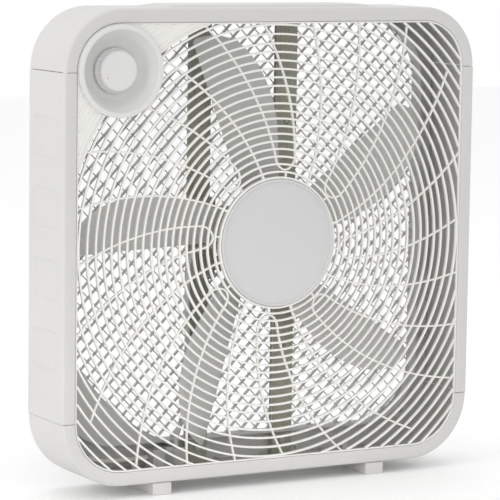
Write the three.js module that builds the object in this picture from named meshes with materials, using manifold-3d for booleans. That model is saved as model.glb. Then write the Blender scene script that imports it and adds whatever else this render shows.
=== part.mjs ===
// Twenty-inch box fan: a four-part plastic housing, two grilles, a five-blade impeller on an
// induction motor that hangs on two steel struts, and a recessed rotary speed control.
// Millimetres, +Z up, the front faces -Y, the origin is the centre of the footprint.
import * as THREE from 'three';
import { mergeVertices } from 'three/addons/utils/BufferGeometryUtils.js';
import Module from 'manifold-3d';

const wasm = await Module();
wasm.setup();

// Driving dimensions of the housing
const WIDTH = 520;
const SHELL_HEIGHT = 520;
const SHELL_DEPTH = 90;
const FOOT_HEIGHT = 14;
const GRILLE_PROUD = 8;
const TOP_RADIUS = 67;
const BOTTOM_RADIUS = 73;
const WALL = 2.6;
const FLANGE = 15.5;
const CORNER_INSET = 0.8;
const GAP = 0.3;
const ARC_STEPS = 7;

// Levels that follow from them
const HALF_WIDTH = WIDTH / 2;
const SHELL_FRONT = GRILLE_PROUD / 2 - SHELL_DEPTH / 2;
const SHELL_REAR = SHELL_FRONT + SHELL_DEPTH;
const SHELL_BOTTOM = FOOT_HEIGHT;
const SHELL_TOP = FOOT_HEIGHT + SHELL_HEIGHT;
const AXIS_Z = SHELL_BOTTOM + SHELL_HEIGHT / 2;
const UPPER_SEAM = SHELL_TOP - TOP_RADIUS - 1;
const LOWER_SEAM = SHELL_BOTTOM + BOTTOM_RADIUS;

// Handle: a raised grip along the middle of the top wall
const HANDLE_RISE = 3;
const HANDLE_HALF = 108;
const HANDLE_RAMP = 34;
const HANDLE_FRONT = SHELL_FRONT + 14;
const HANDLE_REAR = SHELL_REAR - 10;

// Side panel embossing
const PAD_COUNT = 4;
const PAD_PITCH = 77;
const PAD_HEIGHT = 43;
const PAD_DEPTH = 0.8;
const PAD_CORNER = 9;
const PAD_FRONT = SHELL_FRONT + 16;
const PAD_REAR = SHELL_REAR - 6;
const PAD_FIRST_Z = SHELL_BOTTOM + 150;

// Front grille
const GRILLE_FRONT = SHELL_FRONT;
const GRILLE_THICKNESS = 5;
const GRILLE_BACK = GRILLE_FRONT + GRILLE_THICKNESS;
const BORDER_FRONT = SHELL_FRONT + WALL + GAP;
const RIM_WIDTH = 3;
const GRILLE_PLAY = 0.5;
const RING_WIDTH = 3.2;
const RING_RADII = [74, 122, 171, 221, 264, 312];
const ARM_COUNT = 10;
const ARM_WIDTH = 2.6;
const DOME_RISE = 7.5;
const DOME_RADIUS = 221;
const DOME_LAP = 4;
const DOME_POWER = 1.4;
const DOME_STEPS = 3;
const DOME_SIDES = 30;
const CAP_RADIUS = 71;
const CAP_THICKNESS = 3;
const CAP_LIP = 0.6;
const CAP_FRONT = GRILLE_FRONT - GRILLE_PROUD;
const WEB_RADIUS = 256;

// Rear grille
const PLATE_THICKNESS = 3;
const PLATE_REAR = SHELL_REAR - WALL - GAP;
const PLATE_FRONT = PLATE_REAR - PLATE_THICKNESS;
const OPENING_HALF = 231;
const OPENING_LOW = SHELL_BOTTOM + 33;
const OPENING_HIGH = SHELL_TOP - 17;
const OPENING_CORNER = 68;
const LATTICE_PITCH = 63.5;
const LATTICE_BAR = 4;
const CORNER_WEB_RADIUS = 250;
const PLATE_BOSS = 4.4;
const PLATE_BOSS_DEPTH = 6;
const COLLAR_DEPTH = 16;
const COLLAR_WALL = 2.4;

// Control
const CONTROL_X = -(HALF_WIDTH - TOP_RADIUS);
const CONTROL_Z = SHELL_TOP - TOP_RADIUS;
const DISH_RADIUS = 50.4;
const DISH_FLOOR = SHELL_FRONT + 17;
const DISH_WALL = 2.2;
const DISH_PROUD = 3.2;
const DISH_SKIRT = 8;
const DISH_BOWL = [[28, 0], [35, 3], [40.5, 9], [44, 16]];
const KNOB_FACE = SHELL_FRONT + 3.5;
const KNOB_RADIUS = 22;
const KNOB_SKIRT = 25;
const KNOB_SKIRT_FRONT = KNOB_FACE + 8.6;
const KNOB_BACK = DISH_FLOOR - 1.2;
const SCALLOP_COUNT = 14;
const SCALLOP_RADIUS = 2.2;
const SPINDLE_RADIUS = 3;
const SWITCH_HALF = 14;
const SWITCH_DEPTH = 22;
const SWITCH_FRONT = DISH_FLOOR + DISH_WALL + GAP + 2.4;
const TERMINAL_OFFSETS = [-8, 0, 8];
const TERMINAL_LENGTH = 6;

// Impeller
const BLADE_COUNT = 5;
const BLADE_ROOT = 30;
const BLADE_TIP = 240;
const BLADE_REAR_ANGLE = -20.5;
const BLADE_THICKNESS = 2.4;
const BLADE_FRONT_Y = -17;
const BLADE_REAR_Y = 3;
const BLADE_CAMBER = 6;
const BLADE_CHORD_STEPS = 3;
const BLADE_RADIAL_STEPS = 7;
// The leading edge of a blade: [radius, degrees from vertical]
const BLADE_FRONT_EDGE = [[30, 34], [60, 17], [100, 9.5], [150, 3.9], [200, -4], [228, -10.5], [240, -15.5]];
const HUB_RADIUS = 34;
const HUB_FRONT = -19;
const HUB_REAR = 2.5;
const SHAFT_RADIUS = 4;
const NUT_RADIUS = 8;
const NUT_LENGTH = 5;

// Motor, from front to back
const BELL_FRONT = 4.5;
const MOUNT_FRONT = 17.3;
const MOUNT_THICKNESS = 2.2;
const CORE_FRONT = MOUNT_FRONT + MOUNT_THICKNESS + GAP;
const CORE_REAR = 30;
const BELL_REAR = 40;
const MOTOR_RADIUS = 38;
const BELL_WALL = 2;
const CORE_BORE = 20.5;
const ROTOR_RADIUS = 20;
const BEARING_RADIUS = 8;
const BEARING_LENGTH = 6;
const WINDING_RADIUS = 30;
const WINDING_LENGTH = 5.2;

// Struts
const STRUT_X = 55.5;
const STRUT_WIDTH = 26;
const STRUT_FRONT = CORE_FRONT;
const STRUT_FACE = 33.5;
const STRUT_REAR = 41.5;
const STRUT_STEP = 46;
const STRUT_SCREW_LENGTH = 6;
const STRUT_SHEET = 1.6;
const STRUT_HOLE_OFFSET = 128;
const STRUT_SCREW_LOW = 20;
const STRUT_SCREW_HIGH = 8.8;
const MOUNT_EAR_Z = 28;
const MOUNT_EAR_HALF = 8;
const MOUNT_RADIUS = MOTOR_RADIUS + 3;
const MOUNT_BORE = 31;

// Feet and fasteners
const FOOT_X = 137;
const FOOT_WIDTH = 23;
const FOOT_INSET = 1.5;
const FOOT_NOSE = 6;
const FOOT_WEB = 4;
const FOOT_SCREW_Y = 24;
const FOOT_BOSS = 8;
const SCREW_HEAD = 3.6;
const SCREW_SHANK = 1.6;
const SCREW_HEAD_HEIGHT = 1.4;
const HOLE_CLEARANCE = 0.4;
const REAR_SCREW_TOP_X = 120;
const REAR_SCREW_BOTTOM_X = 75;
const REAR_SCREW_Z = 130;
const ROUND_STEPS = 12;
const SCREW_STEPS = 8;

// Electrical parts
const CAP_BOX_X = -100;
const CAP_BOX_SIZE = new THREE.Vector3(40, 20, 22);
const CAP_BOX_Y = 26;
const CLIP_HALF = 5;
const CLIP_SHEET = 1.6;
const LEAD_RADIUS = 3;
const LEAD_CLEARANCE = 6;
const LEAD_STEPS = 22;
const SIDE_LEAD_Y = 31;
const MOTOR_LEAD_Y = 20;
const INLET_X = 220;
const INLET_Z = SHELL_BOTTOM + 42;
const INLET_RADIUS = 8;
const INLET_BORE = 3.6;

// ---------------------------------------------------------------- solids

function toSolid(geometry) {
  const bare = geometry.clone();
  bare.deleteAttribute('normal');
  bare.deleteAttribute('uv');
  const merged = mergeVertices(bare, 1e-4);
  return new wasm.Manifold(new wasm.Mesh({
    numProp: 3,
    vertProperties: new Float32Array(merged.attributes.position.array),
    triVerts: new Uint32Array(merged.index.array),
  }));
}

function toGeometry(solid) {
  const mesh = solid.getMesh();
  const geometry = new THREE.BufferGeometry();
  geometry.setAttribute('position', new THREE.BufferAttribute(mesh.vertProperties, 3));
  geometry.setIndex(new THREE.BufferAttribute(mesh.triVerts, 1));
  geometry.computeVertexNormals();
  return geometry;
}

function union(solids) {
  return solids.reduce((whole, solid) => whole.add(solid));
}

// An outline in the YZ plane, extruded along X from x0 to x1
function slab(shape, x0, x1, curveSegments) {
  const options = { depth: x1 - x0, bevelEnabled: false, steps: 1, curveSegments };
  const geometry = new THREE.ExtrudeGeometry(shape, options);
  return toSolid(geometry.rotateX(Math.PI / 2).rotateZ(Math.PI / 2).translate(x0, 0, 0));
}

// An outline in the XZ plane, extruded along Y from yFront to yRear
function prism(shape, yFront, yRear, curveSegments = ARC_STEPS) {
  const options = { depth: yRear - yFront, bevelEnabled: false, steps: 1, curveSegments };
  return toSolid(new THREE.ExtrudeGeometry(shape, options).rotateX(Math.PI / 2).translate(0, yRear, 0));
}

function block(x0, x1, y0, y1, z0, z1) {
  const geometry = new THREE.BoxGeometry(x1 - x0, y1 - y0, z1 - z0);
  return toSolid(geometry.translate((x0 + x1) / 2, (y0 + y1) / 2, (z0 + z1) / 2));
}

// A round bar along Y
function rod(radius, y0, y1, x = 0, z = AXIS_Z, steps = ROUND_STEPS) {
  const geometry = new THREE.CylinderGeometry(radius, radius, y1 - y0, steps);
  return toSolid(geometry.translate(x, (y0 + y1) / 2, z));
}

// A round bar along Z
function post(radius, z0, z1, x, y, steps = ROUND_STEPS) {
  const geometry = new THREE.CylinderGeometry(radius, radius, z1 - z0, steps);
  return toSolid(geometry.rotateX(Math.PI / 2).translate(x, y, (z0 + z1) / 2));
}

// A profile of [radius, y] pairs turned about the Y axis and moved to x, z
function turned(profile, x = 0, z = AXIS_Z, steps = ROUND_STEPS * 1.5) {
  const points = profile.map(([radius, y]) => new THREE.Vector2(radius, y));
  return toSolid(new THREE.LatheGeometry(points, steps).translate(x, 0, z));
}

function roundedOutline(halfWidth, low, high, lowRadius, highRadius) {
  const shape = new THREE.Shape();
  shape.moveTo(-halfWidth + lowRadius, low);
  shape.lineTo(halfWidth - lowRadius, low);
  shape.absarc(halfWidth - lowRadius, low + lowRadius, lowRadius, -Math.PI / 2, 0);
  shape.lineTo(halfWidth, high - highRadius);
  shape.absarc(halfWidth - highRadius, high - highRadius, highRadius, 0, Math.PI / 2);
  shape.lineTo(-halfWidth + highRadius, high);
  shape.absarc(-halfWidth + highRadius, high - highRadius, highRadius, Math.PI / 2, Math.PI);
  shape.lineTo(-halfWidth, low + lowRadius);
  shape.absarc(-halfWidth + lowRadius, low + lowRadius, lowRadius, Math.PI, Math.PI * 1.5);
  return shape;
}

// The housing outline moved inwards by a distance, and by a little more at the sides
function insetOutline(inset, sideInset = 0) {
  return roundedOutline(
    HALF_WIDTH - inset - sideInset,
    SHELL_BOTTOM + inset,
    SHELL_TOP - inset,
    BOTTOM_RADIUS - inset,
    TOP_RADIUS - inset,
  );
}

// ---------------------------------------------------------------- nodes

const group = new THREE.Group();
group.name = 'box_fan';

const FINISHES = {
  shell: { color: 0xefedea, roughness: 0.42, metalness: 0 },
  grille: { color: 0xeceae6, roughness: 0.4, metalness: 0 },
  control: { color: 0xf2f1ef, roughness: 0.35, metalness: 0 },
  blade: { color: 0xc3c4c2, roughness: 0.38, metalness: 0 },
  strut: { color: 0x6f6f5f, roughness: 0.5, metalness: 0.7 },
  steel: { color: 0x9a9c9e, roughness: 0.35, metalness: 0.9 },
  zinc: { color: 0xb9bcc0, roughness: 0.3, metalness: 1 },
  copper: { color: 0xa4532a, roughness: 0.4, metalness: 0.6 },
  bronze: { color: 0xa87b45, roughness: 0.4, metalness: 0.9 },
  dark: { color: 0x2b2c2e, roughness: 0.55, metalness: 0 },
  sleeve: { color: 0xd9d8d3, roughness: 0.6, metalness: 0 },
};

function addNode(name, solid, finish) {
  const mesh = new THREE.Mesh(toGeometry(solid), new THREE.MeshStandardMaterial(FINISHES[finish]));
  mesh.name = name;
  group.add(mesh);
}

// ---------------------------------------------------------------- housing

// The closed ring of channel section that all four housing parts are cut from
function housingRing(sideInset) {
  const outer = prism(insetOutline(0, sideInset), SHELL_FRONT, SHELL_REAR);
  const cavity = prism(insetOutline(WALL, sideInset), SHELL_FRONT + WALL, SHELL_REAR - WALL);
  const opening = prism(insetOutline(FLANGE), SHELL_FRONT - 1, SHELL_REAR + 1);
  return outer.subtract(cavity).subtract(opening);
}

function rearScrewPlaces() {
  const side = FLANGE / 2 + 1;
  const places = [];
  for (const sign of [-1, 1]) {
    places.push([sign * REAR_SCREW_TOP_X, SHELL_TOP - side]);
    places.push([sign * REAR_SCREW_BOTTOM_X, SHELL_BOTTOM + side]);
    places.push([sign * (HALF_WIDTH - side), AXIS_Z + REAR_SCREW_Z]);
    places.push([sign * (HALF_WIDTH - side), AXIS_Z - REAR_SCREW_Z]);
  }
  return places;
}

function cutRearScrewHoles(solid) {
  const headSeat = SHELL_REAR - SCREW_HEAD_HEIGHT - GAP;
  let cut = solid;
  for (const [x, z] of rearScrewPlaces()) {
    cut = cut.subtract(rod(SCREW_HEAD + HOLE_CLEARANCE, headSeat, SHELL_REAR + 1, x, z, SCREW_STEPS));
    cut = cut.subtract(rod(SCREW_SHANK + HOLE_CLEARANCE, headSeat - WALL, SHELL_REAR + 1, x, z, SCREW_STEPS));
  }
  return cut;
}

// The raised grip: a flat crown with a smooth ramp at each end
function handleGrip() {
  const shape = new THREE.Shape();
  const low = SHELL_TOP - WALL / 2;
  const outer = HANDLE_HALF + HANDLE_RAMP;
  const easing = HANDLE_RAMP / 2;
  shape.moveTo(-outer, low);
  shape.lineTo(outer, low);
  shape.lineTo(outer, SHELL_TOP);
  shape.bezierCurveTo(outer - easing, SHELL_TOP, HANDLE_HALF + easing, SHELL_TOP + HANDLE_RISE,
    HANDLE_HALF, SHELL_TOP + HANDLE_RISE);
  shape.lineTo(-HANDLE_HALF, SHELL_TOP + HANDLE_RISE);
  shape.bezierCurveTo(-HANDLE_HALF - easing, SHELL_TOP + HANDLE_RISE, -outer + easing, SHELL_TOP,
    -outer, SHELL_TOP);
  return prism(shape, HANDLE_FRONT, HANDLE_REAR, 5);
}

function buildTopShell() {
  const keep = block(-WIDTH, WIDTH, -SHELL_DEPTH, SHELL_DEPTH, UPPER_SEAM + GAP, SHELL_TOP * 2);
  const shell = housingRing(CORNER_INSET).intersect(keep).add(handleGrip());
  addNode('top_shell', cutRearScrewHoles(shell), 'shell');
}

function footScrewPlaces() {
  const middle = (SHELL_FRONT + SHELL_REAR) / 2;
  const places = [];
  for (const x of [-FOOT_X, FOOT_X]) {
    for (const offset of [-FOOT_SCREW_Y, FOOT_SCREW_Y]) {
      places.push([x, middle + offset]);
    }
  }
  return places;
}

function buildBottomShell() {
  const keep = block(-WIDTH, WIDTH, -SHELL_DEPTH, SHELL_DEPTH, 0, LOWER_SEAM - GAP);
  let shell = housingRing(CORNER_INSET).intersect(keep);
  for (const [x, y] of footScrewPlaces()) {
    const top = SHELL_BOTTOM + WALL + FOOT_BOSS;
    shell = shell.add(post(SCREW_SHANK + WALL, SHELL_BOTTOM + GAP, top, x, y));
    shell = shell.subtract(post(SCREW_SHANK + HOLE_CLEARANCE, 0, top + 1, x, y));
  }
  addNode('bottom_shell', cutRearScrewHoles(shell), 'shell');
}

// One shallow sunk panel with rounded corners on an outer side wall
function sidePad(sign, index) {
  const low = PAD_FIRST_Z + index * PAD_PITCH - PAD_HEIGHT / 2;
  const high = low + PAD_HEIGHT;
  const shape = new THREE.Shape();
  shape.moveTo(PAD_FRONT + PAD_CORNER, low);
  shape.lineTo(PAD_REAR, low);
  shape.lineTo(PAD_REAR, high);
  shape.lineTo(PAD_FRONT + PAD_CORNER, high);
  shape.absarc(PAD_FRONT + PAD_CORNER, high - PAD_CORNER, PAD_CORNER, Math.PI / 2, Math.PI);
  shape.absarc(PAD_FRONT + PAD_CORNER, low + PAD_CORNER, PAD_CORNER, Math.PI, Math.PI * 1.5);
  const outer = sign * (HALF_WIDTH + 1);
  const inner = sign * (HALF_WIDTH - PAD_DEPTH);
  return slab(shape, Math.min(outer, inner), Math.max(outer, inner), 3);
}

function buildSidePanel(name, sign) {
  const keep = block(
    sign < 0 ? -WIDTH : 0,
    sign < 0 ? 0 : WIDTH,
    -SHELL_DEPTH,
    SHELL_DEPTH,
    LOWER_SEAM + GAP,
    UPPER_SEAM - GAP,
  );
  let panel = housingRing(0).intersect(keep);
  for (let index = 0; index < PAD_COUNT; index += 1) {
    panel = panel.subtract(sidePad(sign, index));
  }
  addNode(name, cutRearScrewHoles(panel), 'shell');
}

function buildFoot(name, x) {
  const front = SHELL_FRONT + FOOT_INSET;
  const rear = SHELL_REAR - FOOT_INSET;
  const shape = new THREE.Shape();
  shape.moveTo(front + FOOT_NOSE, 0);
  shape.lineTo(rear - FOOT_NOSE, 0);
  shape.absarc(rear - FOOT_NOSE, FOOT_NOSE, FOOT_NOSE, -Math.PI / 2, 0);
  shape.lineTo(rear, FOOT_HEIGHT - GAP);
  shape.lineTo(front, FOOT_HEIGHT - GAP);
  shape.lineTo(front, FOOT_NOSE);
  shape.absarc(front + FOOT_NOSE, FOOT_NOSE, FOOT_NOSE, Math.PI, Math.PI * 1.5);
  let foot = slab(shape, x - FOOT_WIDTH / 2, x + FOOT_WIDTH / 2, 5);
  for (const [screwX, y] of footScrewPlaces()) {
    if (screwX === x) {
      foot = foot.subtract(post(SCREW_HEAD + 1, -1, FOOT_HEIGHT - FOOT_WEB, x, y));
      foot = foot.subtract(post(SCREW_SHANK + HOLE_CLEARANCE, 0, FOOT_HEIGHT + 1, x, y));
    }
  }
  addNode(name, foot, 'shell');
}

// ---------------------------------------------------------------- front grille

function domeRise(radius) {
  const share = THREE.MathUtils.clamp((DOME_RADIUS - radius) / (DOME_RADIUS - CAP_RADIUS), 0, 1);
  return DOME_RISE * share ** 1.4;
}

// The grille's front and back faces inside the dome, as one profile to turn about the axis
function domeProfile() {
  const radii = [0, CAP_RADIUS];
  for (let step = 1; step <= DOME_STEPS; step += 1) {
    radii.push(THREE.MathUtils.lerp(CAP_RADIUS, DOME_RADIUS, step / DOME_STEPS));
  }
  const front = radii.map((radius) => [radius, GRILLE_FRONT - domeRise(radius)]);
  const back = radii.map((radius) => [radius, GRILLE_BACK - domeRise(radius)]);
  return [...front, ...back.reverse()];
}

// One opening between two rings and two arms
function sectorOutline(inner, outer, start, end) {
  const innerEase = ARM_WIDTH / 2 / inner;
  const outerEase = ARM_WIDTH / 2 / outer;
  const shape = new THREE.Shape();
  shape.absarc(0, AXIS_Z, outer, start + outerEase, end - outerEase, false);
  shape.absarc(0, AXIS_Z, inner, end - innerEase, start + innerEase, true);
  return shape;
}

// The upper left corner behind the control stays solid
function isBehindControl(angle, outer) {
  return Math.cos(angle) < -0.2 && Math.sin(angle) > 0.2 && outer > WEB_RADIUS;
}

function grilleOpenings() {
  const openings = [];
  const span = (Math.PI * 2) / ARM_COUNT;
  for (let ring = 0; ring < RING_RADII.length - 1; ring += 1) {
    const inner = RING_RADII[ring] + RING_WIDTH / 2;
    const outer = RING_RADII[ring + 1] - RING_WIDTH / 2;
    for (let arm = 0; arm < ARM_COUNT; arm += 1) {
      const start = arm * span;
      if (!isBehindControl(start + span / 2, outer)) {
        const outline = sectorOutline(inner, outer, start, start + span);
        openings.push(prism(outline, GRILLE_FRONT - DOME_RISE - 1, GRILLE_BACK + 1, 3));
      }
    }
  }
  return union(openings);
}

function buildFrontGrille() {
  const face = prism(insetOutline(FLANGE + GRILLE_PLAY), GRILLE_FRONT, GRILLE_BACK);
  const border = prism(insetOutline(WALL + GAP, CORNER_INSET), BORDER_FRONT, GRILLE_BACK);
  const dome = turned(domeProfile(), 0, AXIS_Z, DOME_SIDES);
  const middle = rod(DOME_RADIUS - DOME_LAP, GRILLE_FRONT - 1, GRILLE_BACK + 1, 0, AXIS_Z, DOME_SIDES);
  const field = prism(insetOutline(FLANGE + RIM_WIDTH), GRILLE_FRONT - GRILLE_PROUD - 1, GRILLE_BACK + 1);
  const openings = grilleOpenings().intersect(field);
  const controlHole = rod(DISH_RADIUS + GAP, GRILLE_FRONT - 1, GRILLE_BACK + 1, CONTROL_X, CONTROL_Z, 40);
  const seat = rod(CAP_RADIUS + GAP, CAP_FRONT - 1, CAP_FRONT + CAP_THICKNESS + GAP, 0, AXIS_Z, 40);
  const plate = face.add(border).subtract(middle).add(dome);
  addNode('front_grille', plate.subtract(openings).subtract(controlHole).subtract(seat), 'grille');
}

// The round badge plate: a flat disc with a thin raised lip
function buildHubCap() {
  const back = CAP_FRONT + CAP_THICKNESS;
  const face = CAP_FRONT + CAP_LIP;
  const profile = [
    [0, face],
    [CAP_RADIUS - 3, face],
    [CAP_RADIUS - 1, CAP_FRONT],
    [CAP_RADIUS, face],
    [CAP_RADIUS, back],
    [0, back],
  ];
  addNode('hub_cap', turned(profile, 0, AXIS_Z, 40), 'control');
}

// ---------------------------------------------------------------- rear grille

function rearOpening(inset, yFront, yRear) {
  const corner = OPENING_CORNER - inset;
  const outline = roundedOutline(
    OPENING_HALF - inset,
    OPENING_LOW + inset,
    OPENING_HIGH - inset,
    corner,
    corner,
  );
  return prism(outline, yFront, yRear, 5);
}

// Square openings turned by 45 degrees, the bars between them form the lattice
function latticeOpenings(yFront, yRear) {
  const reach = OPENING_HALF * Math.SQRT2;
  const count = Math.ceil(reach / LATTICE_PITCH);
  const size = LATTICE_PITCH - LATTICE_BAR;
  const cells = [];
  for (let i = -count; i <= count; i += 1) {
    for (let j = -count; j <= count; j += 1) {
      if ((Math.abs(i) + Math.abs(j)) * LATTICE_PITCH < reach + LATTICE_PITCH * 2) {
        const cell = new THREE.BoxGeometry(size, yRear - yFront, size);
        cell.translate(i * LATTICE_PITCH, (yFront + yRear) / 2, j * LATTICE_PITCH);
        cells.push(toSolid(cell.rotateY(Math.PI / 4).translate(0, 0, AXIS_Z)));
      }
    }
  }
  return union(cells);
}

// The lower left quarter outside a radius
function outsideLowerLeft(radius, yFront, yRear) {
  const quarter = block(-WIDTH, 0, yFront, yRear, 0, AXIS_Z);
  return quarter.subtract(rod(radius, yFront - 1, yRear + 1, 0, AXIS_Z, 60));
}

// A forward wall around the opening, and the web that closes its lower left corner
function collarSolid() {
  const front = PLATE_FRONT - COLLAR_DEPTH;
  const inside = rearOpening(0, front - 1, PLATE_FRONT + 2);
  let collar = rearOpening(-COLLAR_WALL, front, PLATE_FRONT + 1).subtract(inside);
  const strutRoom = STRUT_WIDTH / 2 + 1;
  for (const x of [-STRUT_X, STRUT_X]) {
    const room = block(x - strutRoom, x + strutRoom, front - 1, PLATE_FRONT, SHELL_BOTTOM, SHELL_TOP);
    collar = collar.subtract(room);
  }
  const face = rearOpening(-1, front, front + COLLAR_WALL);
  const web = face.intersect(outsideLowerLeft(CORNER_WEB_RADIUS, front - 1, PLATE_FRONT));
  const edge = rod(CORNER_WEB_RADIUS + COLLAR_WALL, front, PLATE_FRONT + 1, 0, AXIS_Z, 60)
    .intersect(rearOpening(-1, front, PLATE_FRONT + 1))
    .intersect(outsideLowerLeft(CORNER_WEB_RADIUS, front, PLATE_FRONT + 1));
  return union([collar, web, edge]);
}

function strutScrewPlaces() {
  const places = [];
  for (const x of [-STRUT_X, STRUT_X]) {
    places.push([x, SHELL_BOTTOM + STRUT_SCREW_LOW]);
    places.push([x, SHELL_TOP - STRUT_SCREW_HIGH]);
  }
  return places;
}

function buildRearGrille() {
  const plate = prism(insetOutline(WALL + GAP, CORNER_INSET), PLATE_FRONT, PLATE_REAR);
  const cells = latticeOpenings(PLATE_FRONT - 1, PLATE_REAR + 1);
  const openings = cells.intersect(rearOpening(0, PLATE_FRONT - 1, PLATE_REAR + 1));
  let grille = plate.subtract(openings).add(collarSolid());
  const hole = SCREW_SHANK + HOLE_CLEARANCE;
  for (const [x, z] of strutScrewPlaces()) {
    grille = grille.add(rod(PLATE_BOSS, STRUT_FACE + STRUT_SHEET + GAP, PLATE_FRONT + 1, x, z));
    grille = grille.subtract(rod(hole, STRUT_FACE, PLATE_FRONT - 2, x, z, SCREW_STEPS));
  }
  for (const [x, z] of rearScrewPlaces()) {
    grille = grille.add(rod(PLATE_BOSS, PLATE_FRONT - PLATE_BOSS_DEPTH, PLATE_FRONT + 1, x, z));
    grille = grille.subtract(rod(hole, PLATE_FRONT - 5, PLATE_REAR + 1, x, z, SCREW_STEPS));
  }
  grille = grille.subtract(rod(INLET_RADIUS + GAP, PLATE_FRONT - 2, PLATE_REAR + 1, INLET_X, INLET_Z));
  addNode('rear_grille', grille, 'grille');
}

// ---------------------------------------------------------------- speed control

function buildControlDish() {
  const front = SHELL_FRONT - DISH_PROUD;
  const skirt = SHELL_FRONT + DISH_SKIRT;
  const hole = SPINDLE_RADIUS + 1.4;
  const inside = DISH_BOWL.map(([radius, rise]) => [radius, DISH_FLOOR - rise]);
  const outside = DISH_BOWL.map(([radius, rise]) => [radius + DISH_WALL, DISH_FLOOR - rise + DISH_WALL]);
  const profile = [
    [hole, DISH_FLOOR],
    ...inside,
    [DISH_RADIUS - 5, front],
    [DISH_RADIUS, front + 0.8],
    [DISH_RADIUS, skirt],
    [DISH_RADIUS - DISH_WALL, skirt],
    [DISH_RADIUS - DISH_WALL, front + WALL],
    ...outside.reverse(),
    [hole, DISH_FLOOR + DISH_WALL],
    [hole, DISH_FLOOR],
  ];
  addNode('control_dish', turned(profile, CONTROL_X, CONTROL_Z, 28), 'control');
}

// The knob: a round face on a scalloped skirt, hollow behind for the spindle
function buildKnob() {
  const profile = [
    [0, KNOB_FACE],
    [KNOB_RADIUS - 2, KNOB_FACE],
    [KNOB_RADIUS, KNOB_FACE + 1.5],
    [KNOB_RADIUS + 0.6, KNOB_SKIRT_FRONT - 1.6],
    [KNOB_SKIRT, KNOB_SKIRT_FRONT],
    [KNOB_SKIRT, KNOB_BACK],
    [0, KNOB_BACK],
  ];
  const spindleFront = KNOB_BACK - 7.8;
  const socket = rod(SPINDLE_RADIUS + GAP, spindleFront - GAP, KNOB_BACK + 1, CONTROL_X, CONTROL_Z);
  let knob = turned(profile, CONTROL_X, CONTROL_Z, 28).subtract(socket);
  for (let index = 0; index < SCALLOP_COUNT; index += 1) {
    const angle = (index * 2 * Math.PI) / SCALLOP_COUNT;
    const reach = KNOB_SKIRT + SCALLOP_RADIUS / 2;
    const x = CONTROL_X + Math.cos(angle) * reach;
    const z = CONTROL_Z + Math.sin(angle) * reach;
    knob = knob.subtract(rod(SCALLOP_RADIUS, KNOB_SKIRT_FRONT - 2, KNOB_BACK + 1, x, z, SCREW_STEPS));
  }
  addNode('speed_knob', knob, 'control');
  const spindle = rod(SPINDLE_RADIUS, spindleFront, SWITCH_FRONT + 2, CONTROL_X, CONTROL_Z);
  addNode('switch_spindle', spindle, 'zinc');
}

function buildSwitch() {
  const rear = SWITCH_FRONT + SWITCH_DEPTH;
  const body = block(
    CONTROL_X - SWITCH_HALF,
    CONTROL_X + SWITCH_HALF,
    SWITCH_FRONT,
    rear,
    CONTROL_Z - SWITCH_HALF,
    CONTROL_Z + SWITCH_HALF,
  );
  const bushFront = DISH_FLOOR + DISH_WALL + GAP;
  const bush = rod(SPINDLE_RADIUS + 3, bushFront, SWITCH_FRONT + 1, CONTROL_X, CONTROL_Z);
  const bore = rod(SPINDLE_RADIUS + GAP, bushFront - 1, SWITCH_FRONT + 2 + GAP, CONTROL_X, CONTROL_Z);
  const terminals = TERMINAL_OFFSETS.map((offset) => block(
    CONTROL_X + offset - 1.5,
    CONTROL_X + offset + 1.5,
    rear - 1,
    rear + TERMINAL_LENGTH,
    CONTROL_Z + 4,
    CONTROL_Z + 5,
  ));
  addNode('speed_switch', union([body.add(bush).subtract(bore), ...terminals]), 'dark');
}

// ---------------------------------------------------------------- impeller

// The angle of a blade's leading edge at a radius, in degrees from vertical
function bladeFrontAngle(radius) {
  const next = Math.max(1, BLADE_FRONT_EDGE.findIndex(([reach]) => radius <= reach));
  const [r0, a0] = BLADE_FRONT_EDGE[next - 1];
  const [r1, a1] = BLADE_FRONT_EDGE[next];
  return THREE.MathUtils.lerp(a0, a1, (radius - r0) / (r1 - r0));
}

// A block bent into a twisted, cambered blade
function bladeSolid(index) {
  const geometry = new THREE.BoxGeometry(1, 1, 1, BLADE_CHORD_STEPS, BLADE_RADIAL_STEPS, 1);
  const place = geometry.attributes.position;
  for (let i = 0; i < place.count; i += 1) {
    const chord = place.getX(i) + 0.5;
    const radius = THREE.MathUtils.lerp(BLADE_ROOT, BLADE_TIP, place.getY(i) + 0.5);
    const angle = THREE.MathUtils.lerp(BLADE_REAR_ANGLE, bladeFrontAngle(radius), chord);
    const turn = THREE.MathUtils.degToRad(angle + (index * 360) / BLADE_COUNT);
    const camber = BLADE_CAMBER * chord * (1 - chord);
    const middle = THREE.MathUtils.lerp(BLADE_REAR_Y, BLADE_FRONT_Y, chord) - camber;
    const y = middle - place.getZ(i) * BLADE_THICKNESS;
    place.setXYZ(i, radius * Math.sin(turn), y, AXIS_Z + radius * Math.cos(turn));
  }
  return toSolid(geometry);
}

function buildImpeller() {
  const profile = [
    [SHAFT_RADIUS + GAP, HUB_FRONT],
    [HUB_RADIUS - 4, HUB_FRONT],
    [HUB_RADIUS, HUB_FRONT + 4],
    [HUB_RADIUS, HUB_REAR],
    [SHAFT_RADIUS + GAP, HUB_REAR],
    [SHAFT_RADIUS + GAP, HUB_FRONT],
  ];
  const parts = [turned(profile)];
  for (let index = 0; index < BLADE_COUNT; index += 1) {
    parts.push(bladeSolid(index));
  }
  addNode('impeller', union(parts), 'blade');
}

function buildShaft() {
  const nutFront = HUB_FRONT - GAP - NUT_LENGTH;
  addNode('motor_shaft', rod(SHAFT_RADIUS, nutFront - 3, BELL_REAR - 2.5), 'steel');
  const nut = rod(NUT_RADIUS, nutFront, HUB_FRONT - GAP, 0, AXIS_Z, 6);
  const bore = rod(SHAFT_RADIUS + GAP, nutFront - 1, HUB_FRONT + 1);
  addNode('impeller_nut', nut.subtract(bore), 'zinc');
}

// ---------------------------------------------------------------- motor

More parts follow.
